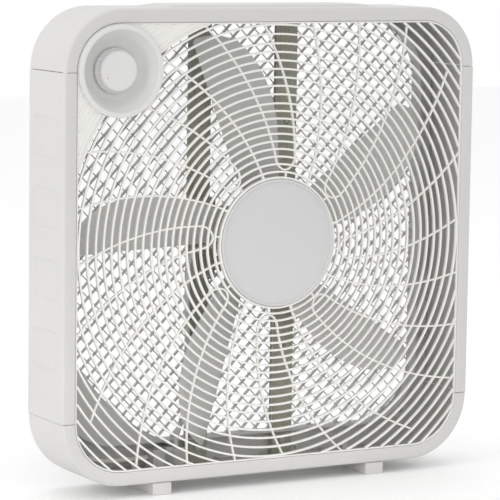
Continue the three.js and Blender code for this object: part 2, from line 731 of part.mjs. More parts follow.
// A cup-shaped end bell with a bearing pocket on the axis
function endBell(faceY, rimY) {
  const inward = Math.sign(rimY - faceY);
  const inner = faceY + inward * BELL_WALL;
  const pocket = faceY + inward * (BEARING_LENGTH + BELL_WALL);
  const profile = [
    [SHAFT_RADIUS + 1, faceY],
    [MOTOR_RADIUS - 5, faceY],
    [MOTOR_RADIUS, faceY + inward * 4],
    [MOTOR_RADIUS, rimY],
    [MOTOR_RADIUS - BELL_WALL, rimY],
    [MOTOR_RADIUS - BELL_WALL, faceY + inward * 5],
    [MOTOR_RADIUS - 6, inner],
    [BEARING_RADIUS + 2, inner],
    [BEARING_RADIUS + 2, pocket],
    [BEARING_RADIUS + GAP, pocket],
    [BEARING_RADIUS + GAP, inner],
    [SHAFT_RADIUS + 1, inner],
    [SHAFT_RADIUS + 1, faceY],
  ];
  return turned(inward > 0 ? profile : profile.reverse());
}

function ringSolid(inner, outer, front, rear) {
  return rod(outer, front, rear, 0, AXIS_Z, 24).subtract(rod(inner, front - 1, rear + 1, 0, AXIS_Z, 24));
}

function buildMotor() {
  const coreEnd = CORE_REAR + GAP;
  const windingBore = CORE_BORE + 1.5;
  const frontWinding = CORE_FRONT - GAP - WINDING_LENGTH;
  addNode('motor_front_bell', endBell(BELL_FRONT, MOUNT_FRONT - GAP), 'steel');
  addNode('motor_rear_bell', endBell(BELL_REAR, coreEnd), 'steel');
  addNode('stator_core', ringSolid(CORE_BORE, MOTOR_RADIUS, CORE_FRONT, CORE_REAR), 'steel');
  addNode('front_winding', ringSolid(windingBore, WINDING_RADIUS, frontWinding, CORE_FRONT - GAP), 'copper');
  const rearWinding = coreEnd + WINDING_LENGTH;
  addNode('rear_winding', ringSolid(windingBore, WINDING_RADIUS, coreEnd, rearWinding), 'copper');
  addNode('rotor_core', ringSolid(SHAFT_RADIUS + GAP, ROTOR_RADIUS, CORE_FRONT - 1, coreEnd), 'steel');
  const bore = SHAFT_RADIUS + GAP;
  const front = BELL_FRONT + BELL_WALL + GAP;
  const rear = BELL_REAR - BELL_WALL - GAP;
  addNode('front_bearing', ringSolid(bore, BEARING_RADIUS, front, front + BEARING_LENGTH), 'bronze');
  addNode('rear_bearing', ringSolid(bore, BEARING_RADIUS, rear - BEARING_LENGTH, rear), 'bronze');
}

function mountEarPlaces() {
  const places = [];
  for (const x of [-STRUT_X, STRUT_X]) {
    for (const z of [AXIS_Z - MOUNT_EAR_Z, AXIS_Z + MOUNT_EAR_Z]) {
      places.push([x, z]);
    }
  }
  return places;
}

// The stamped plate that carries the motor between the struts
function buildMountPlate() {
  const rear = MOUNT_FRONT + MOUNT_THICKNESS;
  const half = MOUNT_EAR_HALF;
  const reach = STRUT_X + half;
  let plate = rod(MOUNT_RADIUS, MOUNT_FRONT, rear, 0, AXIS_Z, 24);
  for (const z of [AXIS_Z - MOUNT_EAR_Z, AXIS_Z + MOUNT_EAR_Z]) {
    plate = plate.add(block(-reach, reach, MOUNT_FRONT, rear, z - half, z + half));
  }
  plate = plate.subtract(rod(MOUNT_BORE, MOUNT_FRONT - 1, rear + 1, 0, AXIS_Z, 24));
  for (const [x, z] of mountEarPlaces()) {
    plate = plate.subtract(rod(SCREW_SHANK + HOLE_CLEARANCE, MOUNT_FRONT - 1, rear + 1, x, z, SCREW_STEPS));
  }
  addNode('motor_mount_plate', plate, 'strut');
}

// ---------------------------------------------------------------- struts

// A strut is shallow along its length and steps forward to the mount plate at the motor
function buildStrut(name, x) {
  const half = STRUT_WIDTH / 2;
  const low = SHELL_BOTTOM + WALL + GAP;
  const high = SHELL_TOP - WALL - GAP;
  const stepLow = AXIS_Z - STRUT_STEP;
  const stepHigh = AXIS_Z + STRUT_STEP;
  const run = block(x - half, x + half, STRUT_FACE, STRUT_REAR, low, high);
  const step = block(x - half, x + half, STRUT_FRONT, STRUT_REAR, stepLow, stepHigh);
  const inner = half - STRUT_SHEET;
  const runRoom = block(
    x - inner,
    x + inner,
    STRUT_FACE + STRUT_SHEET,
    STRUT_REAR + 1,
    low - 1,
    high + 1,
  );
  const stepRoom = block(
    x - inner,
    x + inner,
    STRUT_FRONT + STRUT_SHEET,
    STRUT_REAR + 1,
    stepLow + STRUT_SHEET,
    stepHigh - STRUT_SHEET,
  );
  let strut = run.add(step).subtract(runRoom).subtract(stepRoom);
  const holes = [AXIS_Z - STRUT_HOLE_OFFSET, AXIS_Z + STRUT_HOLE_OFFSET];
  for (const z of holes) {
    strut = strut.subtract(rod(2.6, STRUT_FACE - 1, STRUT_FACE + STRUT_SHEET + 1, x, z));
  }
  const onRun = strutScrewPlaces().map(([screwX, z]) => [screwX, z, STRUT_FACE]);
  const onStep = mountEarPlaces().map(([screwX, z]) => [screwX, z, STRUT_FRONT]);
  for (const [screwX, z, face] of [...onRun, ...onStep]) {
    if (screwX === x) {
      const sheetRear = face + STRUT_SHEET;
      const hole = rod(SCREW_SHANK + HOLE_CLEARANCE, face - 1, sheetRear + 1, x, z, SCREW_STEPS);
      strut = strut.subtract(hole);
    }
  }
  addNode(name, strut, 'strut');
}

// ---------------------------------------------------------------- fasteners

// A screw along Y: towards is +1 when it drives to the rear, -1 when it drives to the front
function screwAlongY(name, x, z, seat, length, towards, finish) {
  const headEnd = seat - towards * SCREW_HEAD_HEIGHT;
  const tip = seat + towards * length;
  const head = rod(SCREW_HEAD, Math.min(seat, headEnd), Math.max(seat, headEnd), x, z, SCREW_STEPS);
  const shank = rod(SCREW_SHANK, Math.min(headEnd, tip), Math.max(headEnd, tip), x, z, SCREW_STEPS - 2);
  addNode(name, head.add(shank), finish);
}

function buildFasteners() {
  strutScrewPlaces().forEach(([x, z], index) => {
    screwAlongY(`strut_screw_${index + 1}`, x, z, STRUT_FACE - GAP, STRUT_SCREW_LENGTH, 1, 'zinc');
  });
  rearScrewPlaces().forEach(([x, z], index) => {
    const seat = SHELL_REAR - SCREW_HEAD_HEIGHT;
    screwAlongY(`rear_screw_${index + 1}`, x, z, seat, 8, -1, 'zinc');
  });
  mountEarPlaces().forEach(([x, z], index) => {
    screwAlongY(`mount_bolt_${index + 1}`, x, z, MOUNT_FRONT - GAP, 9, 1, 'zinc');
  });
  footScrewPlaces().forEach(([x, y], index) => {
    const seat = FOOT_HEIGHT - FOOT_WEB - GAP;
    const head = post(SCREW_HEAD, seat - 2, seat, x, y, SCREW_STEPS);
    const shank = post(SCREW_SHANK, seat - 1, seat + 12, x, y, SCREW_STEPS - 2);
    addNode(`foot_screw_${index + 1}`, head.add(shank), 'zinc');
  });
}

// ---------------------------------------------------------------- electrical parts

function buildCapacitor() {
  const floor = SHELL_BOTTOM + WALL + GAP;
  const half = CAP_BOX_SIZE.clone().multiplyScalar(0.5);
  const top = floor + CAP_BOX_SIZE.z;
  const left = CAP_BOX_X - half.x;
  const right = CAP_BOX_X + half.x;
  addNode('capacitor', block(left, right, CAP_BOX_Y - half.y, CAP_BOX_Y + half.y, floor, top), 'dark');
  const reach = half.y + GAP;
  const outside = reach + CLIP_SHEET;
  const low = CAP_BOX_Y - outside;
  const high = CAP_BOX_Y + outside;
  const outer = block(CAP_BOX_X - CLIP_HALF, CAP_BOX_X + CLIP_HALF, low, high, floor, top + GAP + CLIP_SHEET);
  const inner = block(left, right, CAP_BOX_Y - reach, CAP_BOX_Y + reach, floor - 1, top + GAP);
  addNode('capacitor_clip', outer.subtract(inner), 'zinc');
}

// A round lead swept along a smooth path through a list of points
function leadAlong(points) {
  const section = new THREE.Shape();
  section.absarc(0, 0, LEAD_RADIUS, 0, Math.PI * 2);
  const stops = points.map(([x, y, z]) => new THREE.Vector3(x, y, z));
  const extrudePath = new THREE.CatmullRomCurve3(stops, false, 'centripetal');
  const options = { steps: LEAD_STEPS, extrudePath, bevelEnabled: false, curveSegments: 4 };
  return toSolid(new THREE.ExtrudeGeometry(section, options));
}

// From the speed switch down the channel beside the collar to the capacitor
function buildSwitchLead() {
  const wallX = -(HALF_WIDTH - WALL - LEAD_RADIUS - LEAD_CLEARANCE - LEAD_RADIUS);
  const start = SWITCH_FRONT + SWITCH_DEPTH;
  const floor = SHELL_BOTTOM + 14;
  addNode('switch_lead', leadAlong([
    [CONTROL_X, start + 2 * GAP, CONTROL_Z - 6],
    [CONTROL_X, start + 7, CONTROL_Z - 6],
    [CONTROL_X - 10, start + 14, CONTROL_Z - 14],
    [wallX, start + 14, CONTROL_Z - 34],
    [wallX, SIDE_LEAD_Y, CONTROL_Z - 90],
    [wallX, SIDE_LEAD_Y, AXIS_Z],
    [wallX, SIDE_LEAD_Y, LOWER_SEAM + 23],
    [wallX + 7, SIDE_LEAD_Y, SHELL_BOTTOM + 56],
    [wallX + 30, SIDE_LEAD_Y, SHELL_BOTTOM + 28],
    [wallX + 65, SIDE_LEAD_Y, floor + 1],
    [wallX + 95, SIDE_LEAD_Y, floor],
    [CAP_BOX_X - CAP_BOX_SIZE.x / 2 - GAP, SIDE_LEAD_Y, floor],
  ]), 'sleeve');
}

// From the capacitor up beside the left strut and across to the motor
function buildMotorLead() {
  const capTop = SHELL_BOTTOM + WALL + GAP + CAP_BOX_SIZE.z;
  const strutSide = -(STRUT_X + STRUT_WIDTH / 2 + LEAD_RADIUS + LEAD_CLEARANCE);
  const crossing = (BELL_FRONT + MOUNT_FRONT) / 2;
  addNode('motor_lead', leadAlong([
    [CAP_BOX_X + 10, MOTOR_LEAD_Y, capTop + GAP],
    [CAP_BOX_X + 10, MOTOR_LEAD_Y, capTop + 10],
    [strutSide, MOTOR_LEAD_Y, SHELL_BOTTOM + 74],
    [strutSide, MOTOR_LEAD_Y, AXIS_Z - 60],
    [strutSide, MOTOR_LEAD_Y - 2, AXIS_Z - 28],
    [strutSide + 6, crossing + 1, AXIS_Z - 11],
    [-MOTOR_RADIUS - 16, crossing, AXIS_Z - 8],
    [-MOTOR_RADIUS - 2 * GAP, crossing, AXIS_Z - 8],
  ]), 'sleeve');
}

// The grommet that the mains lead leaves through
function buildInlet() {
  const inner = PLATE_FRONT - GAP - 3;
  const body = rod(INLET_RADIUS, inner, SHELL_REAR - WALL - GAP, INLET_X, INLET_Z, 16);
  const flange = rod(INLET_RADIUS + 2.5, inner, PLATE_FRONT - GAP, INLET_X, INLET_Z, 16);
  const bore = rod(INLET_BORE, inner - 1, SHELL_REAR + 1, INLET_X, INLET_Z, 12);
  addNode('cord_inlet', body.add(flange).subtract(bore), 'dark');
}

// ---------------------------------------------------------------- assembly

buildTopShell();
buildBottomShell();
buildSidePanel('left_side_panel', -1);
buildSidePanel('right_side_panel', 1);
buildFoot('left_foot', -FOOT_X);
buildFoot('right_foot', FOOT_X);
buildFrontGrille();
buildHubCap();
buildRearGrille();
buildControlDish();
buildKnob();
buildSwitch();
buildImpeller();
buildShaft();
buildMotor();
buildMountPlate();
buildStrut('left_strut', -STRUT_X);
buildStrut('right_strut', STRUT_X);
buildFasteners();
buildCapacitor();
buildSwitchLead();
buildMotorLead();
buildInlet();

export default group;
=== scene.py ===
"""A twenty-inch box fan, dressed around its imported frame.

Every visible sub-assembly is a class with its sizes as fields and methods that build its meshes. All
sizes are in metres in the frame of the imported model: +Z up, the front grille faces -Y.
"""

import logging
import math
from collections.abc import Callable, Iterable
from dataclasses import dataclass, field
from enum import Enum

import bmesh
import bpy
from mathutils import Matrix, Vector

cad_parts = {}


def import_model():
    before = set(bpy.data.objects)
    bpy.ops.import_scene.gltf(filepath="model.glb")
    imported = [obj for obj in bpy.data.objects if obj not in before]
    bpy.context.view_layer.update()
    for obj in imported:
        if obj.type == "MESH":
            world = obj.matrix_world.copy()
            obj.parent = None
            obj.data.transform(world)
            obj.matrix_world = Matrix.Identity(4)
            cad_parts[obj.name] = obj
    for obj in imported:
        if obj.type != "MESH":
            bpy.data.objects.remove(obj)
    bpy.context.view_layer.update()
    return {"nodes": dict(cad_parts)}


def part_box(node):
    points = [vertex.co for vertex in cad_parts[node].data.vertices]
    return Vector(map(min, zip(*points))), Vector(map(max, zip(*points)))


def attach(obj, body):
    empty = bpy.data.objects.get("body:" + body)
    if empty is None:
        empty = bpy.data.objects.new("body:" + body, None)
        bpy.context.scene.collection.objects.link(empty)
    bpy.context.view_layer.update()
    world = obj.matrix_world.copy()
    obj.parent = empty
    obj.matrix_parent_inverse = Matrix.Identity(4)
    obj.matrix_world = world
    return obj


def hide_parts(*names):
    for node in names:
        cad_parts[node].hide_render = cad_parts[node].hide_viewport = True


LOG = logging.getLogger("box_fan")
MM = 0.001
NEAR = 1e-5
Point = tuple[float, float, float]
Profile = list[tuple[float, float]]


# ---------------------------------------------------------------- measures


@dataclass(frozen=True)
class Housing:
    """The driving sizes that the sub-assemblies share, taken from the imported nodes.

    Attributes:
        half_width: Half of the housing's width.
        low: Z of its underside.
        high: Z of its top, without the grip.
        front: Y of the front bezel.
        rear: Y of the rear edge.
        low_radius: Radius of the two lower corners.
        high_radius: Radius of the two upper corners.
        flange: Width of the bezel.
        wall: Thickness of the walls.
        corner_inset: How far the shells lie inside the side panels.
    """

    half_width: float
    low: float
    high: float
    front: float
    rear: float
    low_radius: float = 73 * MM
    high_radius: float = 67 * MM
    flange: float = 15.5 * MM
    wall: float = 2.6 * MM
    corner_inset: float = 0.8 * MM

    @classmethod
    def from_frame(cls) -> "Housing":
        """Reads the housing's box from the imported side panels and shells.

        Returns:
            The shared measures.
        """
        panel_low, panel_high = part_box("right_side_panel")
        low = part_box("bottom_shell")[0].z
        width = 2 * panel_high.x
        return cls(panel_high.x, low, low + width, panel_low.y, panel_high.y)

    @property
    def axis_z(self) -> float:
        """Height of the impeller's axis."""
        return (self.low + self.high) / 2

    def outline(self, inset: float = 0.0, side_inset: float = 0.0, arc_steps: int = 24) -> list[Vector]:
        """The rounded square of the housing, moved inwards.

        Args:
            inset: Distance moved inwards all round.
            side_inset: A further distance at the two sides only.
            arc_steps: Number of segments in each corner.

        Returns:
            Points in the XZ plane, anticlockwise as seen from the front.
        """
        half = self.half_width - inset - side_inset
        return rounded_outline(
            half,
            self.low + inset,
            self.high - inset,
            max(self.low_radius - inset, MM),
            max(self.high_radius - inset, MM),
            arc_steps,
        )

    def contains(self, x: float, z: float, inset: float) -> bool:
        """Whether a point of the XZ plane is inside the outline moved inwards by a distance."""
        low, high = self.low + inset, self.high - inset
        return inside_rounded(
            x, z, self.half_width - inset, low, high, self.low_radius - inset, self.high_radius - inset
        )


def rounded_outline(
    half: float, low: float, high: float, low_radius: float, high_radius: float, arc_steps: int
) -> list[Vector]:
    """Points of a rectangle with rounded corners, in the XZ plane.

    Args:
        half: Half of its width.
        low: Its lowest Z.
        high: Its highest Z.
        low_radius: Radius of the two lower corners.
        high_radius: Radius of the two upper corners.
        arc_steps: Number of segments in each corner.

    Returns:
        The points, from the lower right corner round.
    """
    corners = (
        (half - low_radius, low + low_radius, low_radius, -90),
        (half - high_radius, high - high_radius, high_radius, 0),
        (-half + high_radius, high - high_radius, high_radius, 90),
        (-half + low_radius, low + low_radius, low_radius, 180),
    )
    points = []
    for x, z, radius, start in corners:
        for step in range(arc_steps + 1):
            angle = math.radians(start + 90 * step / arc_steps)
            points.append(Vector((x + radius * math.cos(angle), 0.0, z + radius * math.sin(angle))))
    return points


def inside_rounded(
    x: float, z: float, half: float, low: float, high: float, low_radius: float, high_radius: float
) -> bool:
    """Whether a point lies inside a rectangle with rounded corners."""
    if abs(x) > half or not low < z < high:
        return False
    radius = low_radius if z < (low + high) / 2 else high_radius
    dx = abs(x) - (half - radius)
    dz = (low + radius - z) if z < (low + high) / 2 else (z - high + radius)
    return dx <= 0 or dz <= 0 or math.hypot(dx, dz) <= radius


# ---------------------------------------------------------------- finishes


class Body(Enum):
    """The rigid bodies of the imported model."""

    HOUSING = "housing"
    IMPELLER = "impeller"
    KNOB = "knob"


def build_group(name: str, inputs: dict[str, float], outputs: Iterable[str]) -> bpy.types.NodeTree:
    """Makes an empty shader node group with float inputs.

    Args:
        name: Name of the group.
        inputs: Name and default of each input.
        outputs: Names of the float outputs.

    Returns:
        The group, with its input and output nodes in place.
    """
    group = bpy.data.node_groups.new(name, "ShaderNodeTree")
    for label, value in inputs.items():
        group.interface.new_socket(label, in_out="INPUT", socket_type="NodeSocketFloat").default_value = value
    for label in outputs:
        group.interface.new_socket(label, in_out="OUTPUT", socket_type="NodeSocketFloat")
    group.nodes.new("NodeGroupInput")
    group.nodes.new("NodeGroupOutput")
    return group


def find_group_ends(group: bpy.types.NodeTree) -> tuple[bpy.types.Node, bpy.types.Node]:
    """The input and output nodes of a group."""
    ends = {node.bl_idname: node for node in group.nodes}
    return ends["NodeGroupInput"], ends["NodeGroupOutput"]


def moulded_grain() -> bpy.types.NodeTree:
    """A group for the fine texture of moulded plastic and painted sheet.

    Returns:
        The group: Height for a bump, Tone and Gloss as slow variation round 0.5.
    """
    found = bpy.data.node_groups.get("moulded_grain")
    if found:
        return found
    scales = {"Grain Scale": 900.0, "Flow Scale": 14.0}
    group = build_group("moulded_grain", scales, ("Height", "Tone", "Gloss"))
    source, target = find_group_ends(group)
    place = group.nodes.new("ShaderNodeTexCoord")
    for label, scale, detail in (("Height", "Grain Scale", 3.0), ("Tone", "Flow Scale", 2.0)):
        noise = group.nodes.new("ShaderNodeTexNoise")
        noise.inputs["Detail"].default_value = detail
        group.links.new(place.outputs["Object"], noise.inputs["Vector"])
        group.links.new(source.outputs[scale], noise.inputs["Scale"])
        group.links.new(noise.outputs["Fac"], target.inputs[label])
    streak = group.nodes.new("ShaderNodeTexNoise")
    streak.inputs["Scale"].default_value = 55.0
    streak.inputs["Detail"].default_value = 5.0
    group.links.new(place.outputs["Object"], streak.inputs["Vector"])
    group.links.new(streak.outputs["Fac"], target.inputs["Gloss"])
    return group


def settled_dust() -> bpy.types.NodeTree:
    """A group for the dust that lies on upward faces.

    Returns:
        The group: Mask is 1 where the dust is thick.
    """
    found = bpy.data.node_groups.get("settled_dust")
    if found:
        return found
    group = build_group("settled_dust", {"Amount": 0.3}, ("Mask",))
    source, target = find_group_ends(group)
    geometry = group.nodes.new("ShaderNodeNewGeometry")
    split = group.nodes.new("ShaderNodeSeparateXYZ")
    place = group.nodes.new("ShaderNodeTexCoord")
    noise = group.nodes.new("ShaderNodeTexNoise")
    noise.inputs["Scale"].default_value = 160.0
    noise.inputs["Detail"].default_value = 4.0
    upward = group.nodes.new("ShaderNodeMath")
    upward.operation = "MAXIMUM"
    upward.inputs[1].default_value = 0.0
    speckle = group.nodes.new("ShaderNodeMath")
    speckle.operation = "MULTIPLY"
    scaled = group.nodes.new("ShaderNodeMath")
    scaled.operation = "MULTIPLY"
    scaled.use_clamp = True
    link = group.links.new
    link(geometry.outputs["Normal"], split.inputs["Vector"])
    link(split.outputs["Z"], upward.inputs[0])
    link(place.outputs["Object"], noise.inputs["Vector"])
    link(upward.outputs[0], speckle.inputs[0])
    link(noise.outputs["Fac"], speckle.inputs[1])
    link(speckle.outputs[0], scaled.inputs[0])
    link(source.outputs["Amount"], scaled.inputs[1])
    link(scaled.outputs[0], target.inputs["Mask"])
    return group


@dataclass(frozen=True)
class Finish:
    """One procedural finish: a base colour with grain, slow variation and a little dust.

    Attributes:
        name: Name of the material.
        color: Base colour, linear.
        roughness: Middle roughness.
        metallic: 0 for plastic, 1 for bare metal.
        tone: Share by which the slow variation changes the colour.
        grain: Depth of the bump, in metres.
        grain_scale: Number of grains in a metre.
        coat: Weight of a clear coat.
        subsurface: Weight of light scattered inside, for translucent white plastic.
        dust: Amount of settled dust.
    """

    name: str
    color: tuple[float, float, float]
    roughness: float = 0.42
    metallic: float = 0.0
    tone: float = 0.03
    grain: float = 0.00004
    grain_scale: float = 900.0
    coat: float = 0.0
    subsurface: float = 0.0
    dust: float = 0.0

    def material(self) -> bpy.types.Material:
        """Builds the node material, once.

        Returns:
            The material.
        """
        found = bpy.data.materials.get(self.name)
        if found:
            return found
        material = bpy.data.materials.new(self.name)
        material.use_nodes = True
        tree = material.node_tree
        link = tree.links.new
        shader = next(node for node in tree.nodes if node.bl_idname == "ShaderNodeBsdfPrincipled")
        shader.inputs["Metallic"].default_value = self.metallic
        shader.inputs["Coat Weight"].default_value = self.coat
        shader.inputs["Subsurface Weight"].default_value = self.subsurface
        shader.inputs["Subsurface Scale"].default_value = 2 * MM
        grain = self._place(tree, moulded_grain())
        grain.inputs["Grain Scale"].default_value = self.grain_scale
        link(self._colored(tree, grain), shader.inputs["Base Color"])
        gloss = tree.nodes.new("ShaderNodeMapRange")
        gloss.inputs["To Min"].default_value = self.roughness * 0.85
        gloss.inputs["To Max"].default_value = min(self.roughness * 1.15, 1.0)
        link(grain.outputs["Gloss"], gloss.inputs["Value"])
        link(gloss.outputs["Result"], shader.inputs["Roughness"])
        bump = tree.nodes.new("ShaderNodeBump")
        bump.inputs["Distance"].default_value = self.grain
        bump.inputs["Strength"].default_value = 0.6
        link(grain.outputs["Height"], bump.inputs["Height"])
        link(bump.outputs["Normal"], shader.inputs["Normal"])
        return material

    def _place(self, tree: bpy.types.NodeTree, group: bpy.types.NodeTree) -> bpy.types.Node:
        """Puts a node group into a material's tree."""
        node = tree.nodes.new("ShaderNodeGroup")
        node.node_tree = group
        return node

    def _colored(self, tree: bpy.types.NodeTree, grain: bpy.types.Node) -> bpy.types.NodeSocket:
        """The base colour with its slow variation and dust.

        Args:
            tree: The material's tree.
            grain: The placed grain group.

        Returns:
            The colour socket.
        """
        link = tree.links.new
        vary = tree.nodes.new("ShaderNodeMix")
        vary.data_type = "RGBA"
        vary.inputs["A"].default_value = (*[channel * (1 - self.tone) for channel in self.color], 1)
        vary.inputs["B"].default_value = (*[min(channel * (1 + self.tone), 1) for channel in self.color], 1)
        link(grain.outputs["Tone"], vary.inputs["Factor"])
        if not self.dust:
            return vary.outputs["Result"]
        dust = self._place(tree, settled_dust())
        dust.inputs["Amount"].default_value = self.dust
        cover = tree.nodes.new("ShaderNodeMix")
        cover.data_type = "RGBA"
        cover.inputs["B"].default_value = (0.52, 0.49, 0.44, 1)
        link(vary.outputs["Result"], cover.inputs["A"])
        link(dust.outputs["Mask"], cover.inputs["Factor"])
        return cover.outputs["Result"]


class Finishes(Enum):
    """The finishes of the fan."""

    SHELL = Finish("warm_white_shell", (0.575, 0.567, 0.555), 0.40, dust=0.10, subsurface=0.03)
    GRILLE = Finish("warm_white_grille", (0.76, 0.75, 0.72), 0.36, grain=0.00002, dust=0.12, subsurface=0.04)
    # Painted shade: the rear grille's white plastic has a darker base colour than the front grille, standing
    # for the shade it sits in inside the housing; the capacitor and cord inlet share it.
    SHADE_DARKENED_WHITE = Finish("white_plastic_with_painted_shade", (0.50, 0.495, 0.48), 0.42, dust=0.2)
    CONTROL = Finish("smooth_white_control", (0.65, 0.645, 0.64), 0.30, grain=0.00001, coat=0.15)
    CAP = Finish("satin_white_cap", (0.555, 0.55, 0.55), 0.34, grain=0.00002, coat=0.1)
    BLADE = Finish("light_grey_blade", (0.545, 0.545, 0.53), 0.34, tone=0.04, coat=0.1, dust=0.15)
    STRUT = Finish("olive_grey_strut", (0.33, 0.33, 0.268), 0.45, 0.2, tone=0.10, grain=0.00006, dust=0.25)
    # Painted light: a paler finish for the struts' outer side walls, standing for the light that falls on
    # them from the side.
    PAINTED_LIGHT_EDGE = Finish("strut_side_painted_light", (0.50, 0.50, 0.48), 0.40, 0.3, tone=0.06, dust=0.2)
    STEEL = Finish("bare_steel", (0.50, 0.50, 0.51), 0.36, 0.9, tone=0.08, grain_scale=400.0)
    ZINC = Finish("bright_zinc", (0.66, 0.67, 0.68), 0.30, 1.0, tone=0.10, grain_scale=500.0)
    COPPER = Finish("varnished_copper", (0.42, 0.13, 0.05), 0.32, 0.7, tone=0.2, grain=3e-4, grain_scale=300)
    BRONZE = Finish("sintered_bronze", (0.45, 0.27, 0.10), 0.45, 0.9, tone=0.15, grain_scale=700.0)
    # Black moulding of the speed switch; the same black is painted shade in the struts' pierced holes.
    BLACK_AND_HOLE_SHADE = Finish("black_moulding_and_painted_hole_shade", (0.022, 0.023, 0.025), 0.5, tone=0.2, dust=0.15)
    SLEEVE = Finish("soft_vinyl_sleeve", (0.62, 0.61, 0.58), 0.55, tone=0.05, dust=0.2)
    POINTER = Finish("faded_red_mark", (0.72, 0.30, 0.27), 0.4, tone=0.1)
    FLOOR = Finish("pale_floor", (0.95, 0.95, 0.95), 0.7, tone=0.01, grain=0.00001)

    @property
    def material(self) -> bpy.types.Material:
        """The finish's node material."""
        return self.value.material()


# ---------------------------------------------------------------- mesh tools


def finish_piece(
    bm: bmesh.types.BMesh, name: str, finish: Finishes, body: Body, nodes: Iterable[str] = ()
) -> bpy.types.Object:
    """Turns a bmesh into a shown piece that rides on a body.

    Args:
        bm: The mesh; it is freed.
        name: Name of the new object.
        finish: Its finish.
        body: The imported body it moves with.
        nodes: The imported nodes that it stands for.

    Returns:
        The object.
    """
    bmesh.ops.remove_doubles(bm, verts=bm.verts, dist=2e-6)
    bmesh.ops.recalc_face_normals(bm, faces=bm.faces)
    mesh = bpy.data.meshes.new(name)
    bm.to_mesh(mesh)
    bm.free()
    mesh.materials.append(finish.material)
    mesh.shade_smooth()
    mesh.set_sharp_from_angle(angle=math.radians(32))
    piece = bpy.data.objects.new(name, mesh)
    bpy.context.scene.collection.objects.link(piece)
    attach(piece, body.value)
    if nodes:
        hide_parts(*nodes)
    LOG.info("%s: %d faces", name, len(mesh.polygons))
    return piece


def add_loop(bm: bmesh.types.BMesh, points: Iterable[Vector]) -> list[bmesh.types.BMVert]:
    """Adds a closed loop of edges through the points."""
    verts = [bm.verts.new(point) for point in points]
    for pair in zip(verts, verts[1:] + verts[:1]):
        bm.edges.new(pair)
    return verts


def add_level_loop(bm: bmesh.types.BMesh, points: Iterable[Vector], y: float) -> list[bmesh.types.BMVert]:
    """Adds a closed loop through points of the XZ plane, at one Y."""
    return add_loop(bm, [Vector((point.x, y, point.z)) for point in points])


def extrude(bm: bmesh.types.BMesh, faces: Iterable[bmesh.types.BMFace]) -> list[bmesh.types.BMVert]:
    """Extrudes faces in place and returns the new vertices, for the caller to move."""
    grown = bmesh.ops.extrude_face_region(bm, geom=list(faces))["geom"]
    return [part for part in grown if isinstance(part, bmesh.types.BMVert)]


def find_middle(name: str) -> tuple[float, float]:
    """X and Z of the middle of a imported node's box."""
    low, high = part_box(name)
    return (low.x + high.x) / 2, (low.z + high.z) / 2


def skin(bm: bmesh.types.BMesh, loops: list[list[bmesh.types.BMVert]]) -> None:
    """Skins a closed row of loops that all have the same number of vertices."""
    for first, second in zip(loops, loops[1:] + loops[:1]):
        for index, vert in enumerate(first):
            follow = (index + 1) % len(first)
            bm.faces.new((vert, first[follow], second[follow], second[index]))


def turn_profile(
    bm: bmesh.types.BMesh, profile: Profile, x: float, z: float, steps: int, shift: float = 0.0
) -> list[bmesh.types.BMVert]:
    """Spins a profile about an axis along Y.

    Args:
        bm: The mesh that takes it.
        profile: Pairs of radius and Y.
        x: The axis's X.
        z: The axis's Z.
        steps: Number of segments in the full turn.
        shift: Added to each Y.

    Returns:
        The new vertices.
    """
    before = set(bm.verts)
    verts = [bm.verts.new((x + radius, y + shift, z)) for radius, y in profile]
    edges = [bm.edges.new(pair) for pair in zip(verts, verts[1:])]
    bmesh.ops.spin(
        bm,
        geom=verts + edges,
        cent=(x, 0, z),
        axis=(0, 1, 0),
        angle=math.tau,
        steps=steps,
        use_merge=True,
    )
    made = [vert for vert in bm.verts if vert not in before]
    bmesh.ops.remove_doubles(bm, verts=made, dist=1e-6)
    return [vert for vert in bm.verts if vert not in before]


def add_ribbon(
    bm: bmesh.types.BMesh,
    path: Callable[[float], Point],
    steps: int,
    width: float,
    depth: float,
    crown: float = 0.5 * MM,
) -> None:
    """Adds a bar that follows a path, with a crowned front and flat sides along Y.

    Args:
        bm: The mesh that takes it.
        path: Gives the middle of the bar's front for a share of its length from 0 to 1.
        steps: Number of segments along it.
        width: Width across it.
        depth: Depth towards the rear.
        crown: How far the front's edges lie behind its middle.
    """
    made = bmesh.ops.create_grid(bm, x_segments=steps, y_segments=3, size=0.5)["verts"]
    reach = 0.5 / steps
    for vert in made:
        share = min(max(vert.co.x + 0.5, 0.0), 1.0)
        across = vert.co.y
        middle = Vector(path(share))
        ahead = Vector(path(min(share + reach, 1.0))) - Vector(path(max(share - reach, 0.0)))
        side = Vector((ahead.z, 0.0, -ahead.x)).normalized()
        vert.co = middle + side * across * width
        vert.co.y += crown if abs(across) > 0.4 else 0.0
    faces = {face for vert in made for face in vert.link_faces}
    for vert in extrude(bm, faces):
        vert.co.y += depth


def add_slab(
    bm: bmesh.types.BMesh, low: Point, high: Point, bevel: float = 0.6 * MM, segments: int = 2
) -> list[bmesh.types.BMVert]:
    """Adds a box between two corners with rounded edges.

    Args:
        bm: The mesh that takes it.
        low: Lowest corner.
        high: Highest corner.
        bevel: Width of the rounding.
        segments: Segments of the rounding.

    Returns:
        The new vertices.
    """
    before = set(bm.verts)
    size = Vector(high) - Vector(low)
    middle = (Vector(high) + Vector(low)) / 2
    place = Matrix.Translation(middle) @ Matrix.Diagonal((*size, 1))
    verts = bmesh.ops.create_cube(bm, size=1, matrix=place)["verts"]
    edges = list({edge for vert in verts for edge in vert.link_edges})
    bmesh.ops.bevel(
        bm, geom=edges, offset=bevel, segments=segments, profile=0.5, affect="EDGES", material=-1
    )
    return [vert for vert in bm.verts if vert not in before]


def polar(angle: float, radius: float, y: float, z0: float) -> Point:
    """A point at an angle from straight up, clockwise as seen from the front, in degrees."""
    turn = math.radians(angle)
    return (radius * math.sin(turn), y, z0 + radius * math.cos(turn))


# ---------------------------------------------------------------- housing


